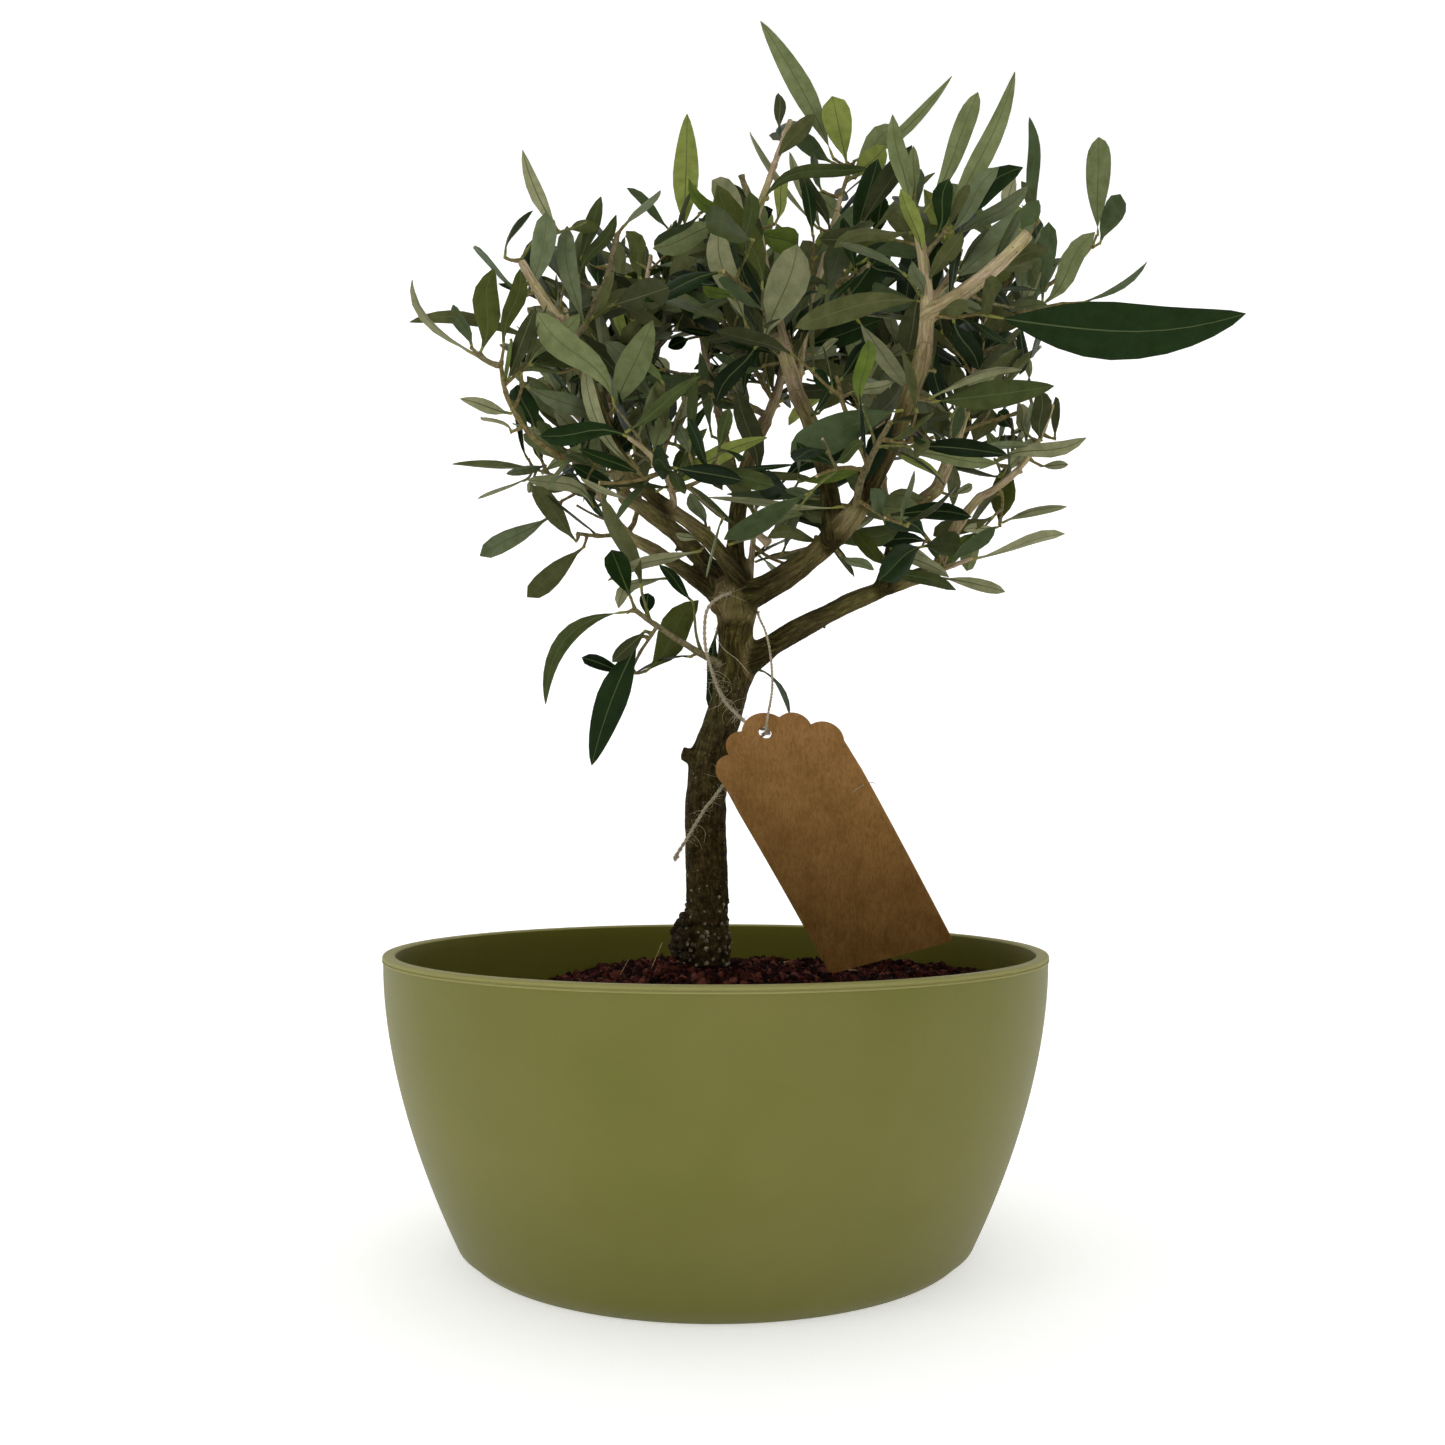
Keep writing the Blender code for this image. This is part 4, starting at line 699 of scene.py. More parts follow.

# leaves placed one by one: root, tip, bow to the side, width, roll and a tone, where tens 1 shows
# the upper side and hundreds give the outline: 0 as it comes, 1 spoon, 2 lance. A separate script
# worked these rows out from points read off the photo. It chose the depths and the rolls.
# a units digit of 5 in the tone picks the dark tone that paints shade on a leaf
leadLeaves = [
    (-85.4, -59.1, 322.8, -106.4, -65.4, 347.1, -4.7, 6.5, 65, 2),
    (-63, -41.3, 332.8, -110.4, -50.3, 337.6, 4.3, 4.8, 6, 0),
    (-86.1, -59.1, 324.8, -95.9, -45.2, 346, 0, 4.9, 5, 14),
    (-83.3, -59.1, 323.2, -79.8, -53.5, 356.3, 0, 10.1, -9, 12),
    (-74.9, -59.1, 324.8, -70.2, -53.8, 355.9, 0, 6.6, 9, 12),
    (-72.3, -45.9, 351.6, -91.5, -31, 373.4, -0.1, 6.5, -60, 14),
    (-76.8, -47.5, 362.5, -69, -31.5, 387.4, -2.7, 6.1, 76, 14),
    (-57.1, -45.7, 372.7, -71.9, -39.5, 407.1, -1.8, 5.7, 1, 202),
    (-69.3, -44.9, 349.1, -61.4, -50.8, 378.3, 1.9, 9.2, -10, 104),
    (-48.3, -36, 340.2, -54.6, -43.2, 376.4, -2.3, 7.6, -6, 104),
    (-51.2, -27.6, 370, -43, -35.2, 391.3, 0, 5.9, 8, 11),
    (-52, -29.6, 361.1, -38.1, -24.3, 389.1, -0.3, 5, -7, 11),
    (-32.6, 52.6, 393.8, -40.8, 65.6, 422, 2, 8.2, -7, 12),
    (-38.4, 53.2, 389.1, -46.9, 64.3, 417.3, 0, 5.6, -7, 0),
    (-21.3, 73.4, 425.4, -40.6, 68.3, 443.1, 1.3, 5.3, -42, 14),
    (-35.4, -25.9, 383.6, -21.9, -9.9, 405.3, 0, 6, -60, 4),
    (-14.7, 73.4, 423, -14, 83.7, 485.9, 0, 12, -4, 203),
    (-6.2, -18.2, 392.3, -24.8, -2.3, 386.4, 0, 5, -47, 14),
    (-20.4, 72.9, 408.8, -47.1, 67.8, 398.9, 0, 5.8, -47, 13),
    (-38.6, -34.5, 308.7, -23.1, -41.5, 341.5, 0, 11.9, 9, 201),
    (-28.4, -37.4, 287, -47.3, -45.3, 323.3, -5.5, 5.7, -4, 102),
    (-32.3, -52.5, 296.3, -5.5, -58.6, 315, 0, 5.2, 2, 211),
    (-7, 32.1, 341, -29.2, 18.4, 339.8, 0, 4.9, 4, 14),
    (-72.3, -56.9, 302, -87.6, -72.2, 302.7, 0, 4.8, -4, 202),
    (-72.5, -55.1, 295.6, -85.2, -45.3, 303.9, 1.6, 3.6, 61, 2),
    (-57.4, -37, 323.2, -73.4, -51.7, 317.3, 2.7, 4.5, 47, 1),
    (-60.2, -40.6, 331.4, -73, -30, 328.2, 0, 4.4, 0, 10),
    (-63.1, 63.1, 329.2, -85, 69.1, 356.7, 0, 10, -10, 11),
    (-64.5, -53.4, 296.8, -73, -39, 318.2, 0, 9.2, 7, 10),
    (-81.5, 50, 313.6, -86, 37.1, 332.6, 0, 4.7, 51, 10),
    (-68.4, 67.8, 344.5, -72.3, 77.9, 360.1, 0, 4.4, 0, 2),
    (-47.5, -34.2, 301.2, -74.6, -39.3, 303.7, -2, 5.5, -58, 4),
    (-78.5, 49.8, 310.2, -115.3, 56.2, 313.4, 0, 7.5, -59, 200),
    (-73.5, 49.2, 310.9, -88.4, 35.2, 303.6, 0, 4.4, 22, 4),
    (-81.8, 50, 305.1, -100.3, 35.5, 293, 0, 5.3, 71, 2),
    (-52, 42.3, 290.9, -79.9, 36.7, 301.5, 4.6, 6.7, 6, 2),
    (-79.3, 49.8, 305.2, -80.3, 44.6, 297.8, 0, 3.4, 0, 2),
    (-69.7, 40.1, 287, -98.9, 33.8, 268.5, -0, 8.3, 5, 104),
    (-58.1, 31.4, 273.8, -76, 26, 296.4, 0, 8.6, 6, 0),
    (-54.8, 32.1, 272.3, -77.9, 26.3, 249.9, 0, 9, 7, 100),
    (-32.2, -19.8, 242.1, -38.3, -35.6, 257.3, 0, 9.2, -9, 110),
    (-5.6, -17.1, 260.7, -40.5, -23.8, 248.1, 2, 7.5, -54, 2),
    (-19.6, 16.4, 255.9, -38.5, 2.9, 241.7, 4.9, 5.5, 37, 2),
    (-26.6, -18.1, 235.5, -26, -11, 245.4, 0, 6.1, -3, 115),
    (-27.7, -1.4, 216, -7, 4.9, 245.2, 0, 12.5, 1, 12),
    (-26.8, -14, 230.5, -38.3, -28, 216.8, 0, 5.6, -4, 5),
    (-28.2, -13.4, 228.8, -46.2, -23, 178.7, 1.9, 12, -6, 210),
    (-34, -7.4, 215, -50.2, -22.2, 219.1, 0, 5.4, -7, 115),
    (-33.3, -19.8, 236.8, -62.9, -28.2, 201.1, 10.6, 6.3, 4, 211),
    (-9.2, -5.5, 221.5, -32.3, 8.5, 216.5, 1.9, 5.5, -73, 10),
    (0.9, 5.6, 234.2, -3, 5.6, 202.8, 0, 5.9, -9, 10),
    (15.4, 4.9, 218.1, 29.5, 19.4, 200.7, -3.7, 5.3, 61, 14),
    (48.6, 17.7, 431.5, 18.7, 29.8, 498.5, 1.9, 9.7, -2, 201),
    (54.1, 18.3, 430.1, 47.7, 12.9, 456.2, 0, 12, 8, 103),
    (56.6, 18.3, 431, 96.4, 8.3, 462.2, 3.8, 4.8, 0, 201),
    (16.7, -13.3, 396.9, 59.1, -21.6, 408.4, -6.7, 5.3, 7, 11),
    (57.2, 16, 422.5, 67.9, 1, 429, 0, 9.9, -7, 3), (48.6, 17.1, 429.6, 31.5, 32.5, 450.6, 0, 7.7, 9, 14),
    (43.3, 12.3, 415.2, 39.8, 26.3, 439, 0, 5.6, -37, 14),
    (69.3, -61.1, 371.7, 62.3, -67.9, 405.9, 0, 6.8, -7, 1),
    (74, -61.1, 373.1, 92.1, -69.8, 413, 1.2, 7.2, -3, 101),
    (80.6, -63.7, 362.9, 103.9, -75.6, 417.1, 0.9, 7.8, -9, 201),
    (82, -64.1, 364.1, 99, -69.6, 386, -0.4, 6.8, -2, 4),
    (70.6, -61, 379.5, 68.5, -75.6, 390.5, 0, 4.4, 0, 1),
    (72.1, -61, 373.9, 72.7, -48, 396.4, 0, 5.9, 2, 111),
    (9.1, -16.5, 393.1, -10.3, -28.5, 401.3, -4.6, 5.2, -7, 13),
    (41.7, 11.7, 399.4, 13.8, 20.6, 444.8, -2.1, 7.5, 61, 2),
    (43.2, 11.4, 396, 30.4, 18.3, 435, -0.1, 4.8, -4, 2),
    (22.7, -12.3, 390.4, 28.4, 3.7, 418.2, 0, 5.4, -7, 3),
    (11.9, -27.6, 343.8, 2.1, -35.4, 382.5, -3.4, 9.9, -2, 2),
    (17.7, -26.4, 338.3, 30.5, -33.7, 373.5, 0.9, 15.8, 10, 2),
    (16, -11.9, 388.2, 32.8, 1.8, 387.9, 0, 10.8, 3, 13), (43, 9.1, 378.1, 36, 22.7, 399.2, 0, 9.2, -3, 0),
    (77.8, -63.2, 363.8, 80, -79.2, 377.2, 0, 7.1, -5, 10),
    (70.3, -61.4, 366, 41.5, -66.6, 358.2, 2.2, 6.1, 47, 0),
    (65.5, 22.1, 399.8, 68, 7.1, 411.1, 0, 7.2, 6, 10),
    (50.6, -9.4, 361.5, 68.9, -4.2, 386.6, 0, 14.6, 2, 10),
    (42.8, 7.2, 367.9, 52.1, -5, 374.1, 0, 7.4, -4, 10),
    (55.7, -45.4, 361.9, 70.8, -33.4, 359.9, 0, 4.3, 0, 15),
    (142.6, 56.7, 422.2, 136.9, 48, 465.7, -0.5, 6, 7, 14),
    (85.7, -50.7, 368.4, 112.1, -56.8, 385.3, 1.2, 6, -5, 4),
    (125.9, 56.6, 426.7, 135.2, 70, 448.6, 0, 6.9, 4, 2),
    (103.8, -80.2, 358.7, 108, -90, 364.7, 0, 6.6, 9, 14),
    (170.2, 63.3, 418.7, 169.2, 55.1, 460.2, -0.2, 11.2, -6, 101),
    (171, 63.3, 415, 183.7, 73.7, 442.8, 0, 10.1, -1, 114),
    (139.6, 45.3, 379.8, 161.9, 38, 409.5, 0.4, 9, 5, 1),
    (140.6, 45, 380.6, 142.3, 38.4, 414.1, 0, 8, -5, 114),
    (156.5, 41.4, 379.6, 183.1, 35.3, 395.2, 2.6, 6.3, 57, 14),
    (91.9, -70.8, 332.8, 177.4, -86.8, 327.1, 5.5, 19.3, -3, 210),
    (132.1, 46.8, 380.4, 131.4, 41.6, 407.5, 0, 6.3, 3, 4),
    (150.4, 60.4, 398.5, 159.6, 72.3, 417.1, 0, 4.8, 43, 2),
    (83.4, -63.8, 334.1, 95.3, -47.8, 320.8, 0, 7.7, -7, 15),
    (123.1, 50.1, 370.9, 119.1, 61.9, 388.8, 0, 6, -1, 0),
    (77.5, -47.8, 309, 120.4, -55.9, 312.3, 0.3, 10.2, -3, 211),
    (76.7, -48.6, 309.8, 109.3, -55, 318.5, -2.8, 6.9, -59, 2),
    (137.6, 60.5, 351.8, 136.1, 52.6, 359, 0, 3.4, 0, 1),
    (139.9, 47.6, 321.2, 135.8, 32.5, 338.8, 0, 8.4, 7, 5),
    (145.6, 48.1, 321.9, 150.1, 63, 345.3, 0, 5.6, -40, 0),
    (133.3, 47.3, 324.1, 132.3, 58.5, 341.2, 0, 6, 5, 2),
    (130.1, 61.6, 330.9, 122.6, 54.1, 335.8, 0, 7.7, 6, 10),
    (106.2, 43.3, 317.8, 107.3, 58.7, 341.7, 0, 7.7, 3, 5),
    (110, 43.6, 317.9, 120.6, 58.2, 338.8, 0, 9.4, 2, 0),
    (118.9, 46.6, 312, 156.9, 39.1, 320.2, 0.3, 6.7, 5, 2),
    (67.5, -39.4, 291.8, 102.1, -45.9, 287.1, -0.6, 5, 3, 1),
    (137.2, 46.7, 318.7, 113, 30.7, 314.8, 0, 5.8, -55, 4),
    (138.5, 45.5, 309.7, 148.1, 35.8, 307.8, 0, 3.8, 0, 2),
    (122.1, 53.4, 285.8, 127.2, 59.9, 313.4, 0, 11.2, -6, 212),
    (123.5, 53.4, 286.7, 150.3, 48.2, 292.6, -1.5, 5.6, -47, 2),
    (121.9, 54.3, 285.1, 104.7, 42.2, 281.2, 0, 4.7, 3, 2),
    (102.9, 12.8, 263, 138.7, 5.7, 272, -0.7, 7.5, 63, 2),
    (91, 19.8, 256.7, 116.5, 14.9, 250.2, -0.7, 5.2, 10, 2),
    (65.1, 13.2, 266.5, 95.3, 6.8, 249.6, 2.6, 5.5, -2, 11),
    (70.3, 16.2, 268.3, 93.3, 11.3, 255.6, -0.6, 4.8, -3, 2),
    (100.5, 37.3, 294.7, 106.5, 30.2, 298.1, 0, 3.7, 0, 2),
    (96.9, 39.4, 300.6, 75, 26.6, 309.6, 1.8, 5.4, -40, 3),
    (89.2, 32.3, 293.1, 70.7, 18.8, 291.1, 0, 4.6, -13, 0),
    (66.2, -50.3, 263.8, 68.9, -66.2, 279, 0, 4.4, 51, 4),
    (92.9, 18.7, 260.6, 71.3, 12.1, 270.4, 0, 4.9, 50, 2),
    (67.1, -52.2, 304.7, 26.4, -60, 286.4, 1.6, 13.2, 9, 114),
    (39.8, -9.9, 316.1, 49.3, -23.8, 325.2, 0, 9, 6, 100),
    (75.5, -58.6, 341.6, 27.9, -67.2, 329.4, 3.5, 8.9, -2, 0),
    (38.4, -0.6, 342.5, 49.2, 8.9, 352.3, 0, 3.5, 26, 2),
    (45.5, -40.2, 319.2, 57.6, -25.5, 339.4, 0, 5.5, -7, 15),
    (42.5, -42.1, 314.1, 36.6, -33.4, 325.5, 0, 5.4, 0, 10),
    (35.8, -14.2, 313, 46.5, -30.2, 324.3, 0, 4.5, -48, 10),
    (72.5, -59.9, 345.4, 69.6, -45.5, 328, 0, 10.2, -3, 5),
    (69.5, -45.3, 308.8, 76.1, -53, 326.8, 0, 6.7, -10, 101),
    (-22.3, -30.4, 280.2, 19, -38.8, 298.5, -1.8, 6.9, -8, 203),
    (47.1, -35.2, 273.6, -2.5, -44.2, 275, -0.8, 7.5, -61, 2),
    (38.9, -20, 280, 4.2, -26.3, 280.4, 0, 7.1, 65, 14),
    (40.4, -19.5, 280.9, 25.7, -31.1, 280.8, 0, 3.8, -9, 4),
    (39.1, -17.8, 287.3, 18.7, -1.8, 295, 0, 5.4, 45, 0),
    (0.3, -47, 283.5, 27.8, -52, 285, 0, 5.6, -72, 10),
    (4.6, -14.2, 263.5, 33.1, -19.8, 274.2, -1.8, 4.9, 2, 1),
    (40.8, -17.9, 263.5, 19.1, -33.9, 262.4, 2.3, 5, -5, 0),
    (25.4, 5.4, 277.5, 18.3, 12, 282.8, 0, 4.3, 0, 10),
    (41.5, -22.6, 269.1, 34.5, -14.7, 277.2, 0, 4.5, 0, 0),
    (15.4, 7.1, 260.8, 42.1, 4.9, 262.7, -1.7, 5.4, 43, 0),
    (50.1, -24, 265.9, 61, -14.2, 275.4, 0, 3.5, -31, 2),
    (46.5, -24.4, 257.8, 58.1, -35.7, 249.9, 0, 3.7, 0, 4),
    (-22.4, -45.7, 291.2, -18.7, -34.4, 308, 0, 7.6, -4, 1),
    (-9.2, -43.4, 289.7, -14.5, -31.8, 306.7, 0, 4.7, 7, 4),
    (-32.5, -29.9, 292.5, -10.8, -34.8, 307.6, 0, 5.4, 47, 0),
    (-34.7, -27.7, 280.7, -51.8, -43.7, 286.8, 0, 5.4, -5, 10),
    (-39.9, -30.6, 287.3, -50.6, -40.8, 289.3, 0, 3, -14, 1),
    (-75.3, 49.4, 307.2, -54.4, 38, 318.5, 0, 5.5, -5, 1),
    (-30.9, -31.2, 276.9, -48.5, -47.2, 281.2, -1, 4.8, -63, 2),
    (-6.2, -11.2, 265.6, -15.7, -3.5, 270, 0, 3.1, 0, 2),
    (10.7, 9.8, 274.4, -12.3, 15.1, 294, 0, 6.1, -50, 11),
    (-3.8, -13.2, 270.7, -9.7, -24.9, 281.1, 0, 5.3, -7, 4),
    (-1.9, 38.3, 319.9, -7, 31.5, 354.7, 0, 5, 4, 14), (2.3, 27.9, 373.6, -14, 41.5, 385, 0, 4.8, -31, 14),
    (18.7, -9, 335.2, -1.1, -25, 334.5, -2, 5.1, 36, 14),
    (7.2, -31, 353.2, -4.7, -41.4, 354.1, 0, 4.4, 0, 13),
    (108.7, 45.4, 329.7, 102.1, 50.4, 357.7, 0, 6.8, -7, 0),
    (116.3, 49.7, 355.3, 106.7, 36, 365.8, 0, 5.9, 1, 15),
    (78.8, -51.8, 318.7, 77.2, -39.1, 338.7, 0, 5.7, -8, 0),
    (23.6, 41.4, 341.6, 36.4, 54.3, 356.8, 0, 4.7, 27, 14),
    (-7.5, 65, 376.3, -20.4, 75.9, 385.8, 0, 5.3, -1, 4),
    (-12, 64.6, 372.5, -22.1, 73.1, 371.4, 0, 6.1, 4, 10),
]

crownPlan = dict(
    eye=(2.5, -540.0, 157.8), middle=(20.8, 337.0), depth=112.0,
    reach=[  # how far the crown goes, every 15 degrees from the right: a script measured the photo
        110, 130, 148, 142, 120, 110, 118, 92, 92, 94, 112, 120, 112, 106, 108, 128, 112, 102, 94, 102, 104, 118,
        114, 124,
    ],
    sky=[  # openings as x, z and radius, fitted to those in the photo
        (8.7, 447.6, 12.3), (3.5, 427.2, 10.3), (59.9, 445.1, 9.6), (-52.2, 249.2, 9.6), (138.8, 425.1, 9),
        (140, 403.2, 8.6), (126.6, 288.7, 6.7), (28.6, 241.7, 6.6), (-62.4, 242.5, 6.3), (-14.8, 342.3, 5.9),
        (117.9, 424.3, 5.8), (-57.7, 402.4, 5.8), (87.9, 434.3, 5.6), (36.4, 244.9, 5.5), (45.1, 249.2, 5.4),
        (19.2, 435.1, 5.1), (-27.7, 394.2, 5), (139, 391.7, 4.7), (-82.3, 304.3, 4.7), (-65.8, 269.1, 4.7),
        (-74.6, 282.3, 4.7), (-74, 261.1, 4.4), (92, 440.9, 4.4), (31.1, 395.8, 4.4), (24.8, 306.7, 4.4),
        (135.4, 413.5, 4.3), (-79.2, 385.9, 4.3), (118, 272.3, 4.2), (58.2, 432.2, 4.1), (-38.5, 405.3, 4.1),
        (148.2, 371.6, 4.1), (-50.8, 270.7, 4.1), (108, 255.6, 4.1), (73.4, 293.1, 3.9), (143.8, 414.4, 3.8),
        (132.9, 336.2, 3.8), (140.5, 315.2, 3.8), (-26.8, 266.7, 3.8), (119.2, 432.2, 3.7), (14.7, 418.5, 3.7),
        (-19.3, 247.7, 3.6), (74.3, 443.8, 3.4), (86.6, 426.8, 3.4), (-27.4, 410.7, 3.4), (-8, 345.5, 3.3),
        (143.8, 368.3, 3.3),
    ],
    pairStep=8.0, lastLeaf=0.985, leafLong=(25.0, 43.0), leafSlim=(0.22, 0.32), apart=2.0, margin=1.2,
    full=0.76, fullLeft=0.90, spoon=(0.66, 3.2), lance=(0.46, 1.6),
    # a share of the filled leaves takes the dark tone that paints shade inside the crown
    tones=((0, 1, 0), (0, 1, 4), (2, 0, 1), (0, 4, 0), (1, 0, 3), (4, 0, 2)), shadeShare=0.2, shadeTone=5,
    shootStep=18.0, shootStepLeft=12.5, shootShare=(0.62, 0.85), shootLong=(11.0, 24.0), shootRadius=0.55,
    leadSeed=9, leadSteps=24, leadSplit=18, cell=4, leftMasses=8, leftOut=[("foliageLowLeft", 0)],
    shown=dict(  # boughs that the front view leaves open, and the share of leaves that cross them all the same
        boughs=["boughFrontLeft", "boughFrontLeftMid", "boughFrontLeftRise", "boughRight", "boughRightRise",
                "boughLowRight", "boughCentre", "boughBackLeft", "boughLeader"],
        stems=["foliageLeader", "foliageRightTop"],
        beside=1.6, kept=0.12,
    ),
)


def tipOf(path, sunk):
    return path[-1] + (path[-1] - path[-2]).normalized() * -sunk


def limbPaths():
    paths = {}
    for name, limb in limbs.items():
        azimuth, rise, length, turn, lift, r0, r1 = limb["grow"]
        start = limb["start"] if "start" in limb else tipOf(paths[limb["on"]][0], 1.2)
        steps = max(4, round(length / 9))
        path = arc(start, azimuth, rise, length, turn, lift, steps)
        swell = [1 + 0.07 * math.sin(2.1 * k + len(name)) for k in range(steps + 1)]
        paths[name] = (path, [r * s for r, s in zip(taper(r0, r1, steps + 1), swell)])
    return paths


def seen(point):  # where a point shows from the front, on the upright plane through the pot's middle
    ex, ey, ez = crownPlan["eye"]
    k = -ey / (point.y - ey)
    return ex + (point.x - ex) * k, ez + (point.z - ez) * k


def firstLeaf(which):  # how far along its own length a stem, or else a twig, has its first leaves
    return 0.3 if which == 0 else 0.2


def withinCrown(point):
    plan = crownPlan
    if abs(point.y) > plan["depth"]:
        return False
    x, z = seen(point)
    for cx, cz, r in plan["sky"]:
        if math.hypot(x - cx, z - cz) < r + plan["margin"]:
            return False
    dx, dz = x - plan["middle"][0], z - plan["middle"][1]
    count = len(plan["reach"])
    a = math.degrees(math.atan2(dz, dx)) % 360 * count / 360
    k = int(a) % count
    reach = plan["reach"][k] + (plan["reach"][(k + 1) % count] - plan["reach"][k]) * (a - int(a))
    return math.hypot(dx, dz) < reach * (1 - 0.25 * (point.y / plan["depth"]) ** 2)


def trunkCentre(z):
    rows = trunkPlan["rows"]
    for (z0, x0, r0), (z1, x1, r1) in zip(rows, rows[1:]):
        if z <= z1:
            u = max(0.0, (z - z0) / (z1 - z0))
            u = u * u * (3 - 2 * u) * 0.35 + u * 0.65
            return x0 + (x1 - x0) * u, r0 + (r1 - r0) * u
    return rows[-1][1], rows[-1][2]


def footSlim(z, share):  # the foot that shows is straighter than the solid's
    return share + (1 - share) * min(1, max(0, (z - trunkPlan["rows"][0][0]) / 26))


def trunkShape(footShare=1.0):
    plan = trunkPlan
    low, high = plan["rows"][0][0], plan["rows"][-1][0]
    count, sides = round((high - low) / plan["rise"]), plan["sides"]
    verts = []
    for i in range(count + 1):
        z = low + (high - low) * i / count
        lean, radius = trunkCentre(z)
        for k in range(sides):
            a = 360.0 * k / sides
            flute = 1 + 0.05 * math.sin(rad(3 * a + 40)) + 0.03 * math.cos(rad(2 * a - z * 2.5))
            foot = 1 + 0.06 * math.cos(rad(5 * a + 20)) * max(0, (122 - z) / 20)
            r = radius * flute * foot * footSlim(z, footShare)
            for height, azimuth, out, tall, wide in plan["knots"]:
                off = (a - azimuth + 180) % 360 - 180
                r += out * math.exp(-((z - height) / tall) ** 2 - (off / wide) ** 2)
            verts.append(Vector((lean + r * math.cos(rad(a)), r * math.sin(rad(a)), z)))
    faces = capped(count + 1, sides)
    return verts, faces, [0] * len(faces)


def roughLeaf(root, azimuth, rise, length, width, arch, across):
    path = arc(root, azimuth, rise + arch / 2, length, 0, -arch, 3)
    verts = [path[0]]
    for point, ahead in ((path[1], path[2]), (path[2], path[3])):
        tangent = (ahead - point).normalized()
        side = (across - tangent * across.dot(tangent)).normalized()
        face = side.cross(tangent)
        verts += [point - side * width / 2, point + side * width / 2, point - face * 0.6]
    verts.append(path[-1])
    faces = []
    for k in range(3):
        m = (k + 1) % 3
        faces += [(0, 1 + k, 1 + m), (1 + k, 4 + k, 4 + m, 1 + m), (4 + k, 7, 4 + m)]
    return verts, faces, [0] * 9


def cellOf(p):
    cell = crownPlan["cell"]
    return int(p.x // cell), int(p.y // cell), int(p.z // cell)


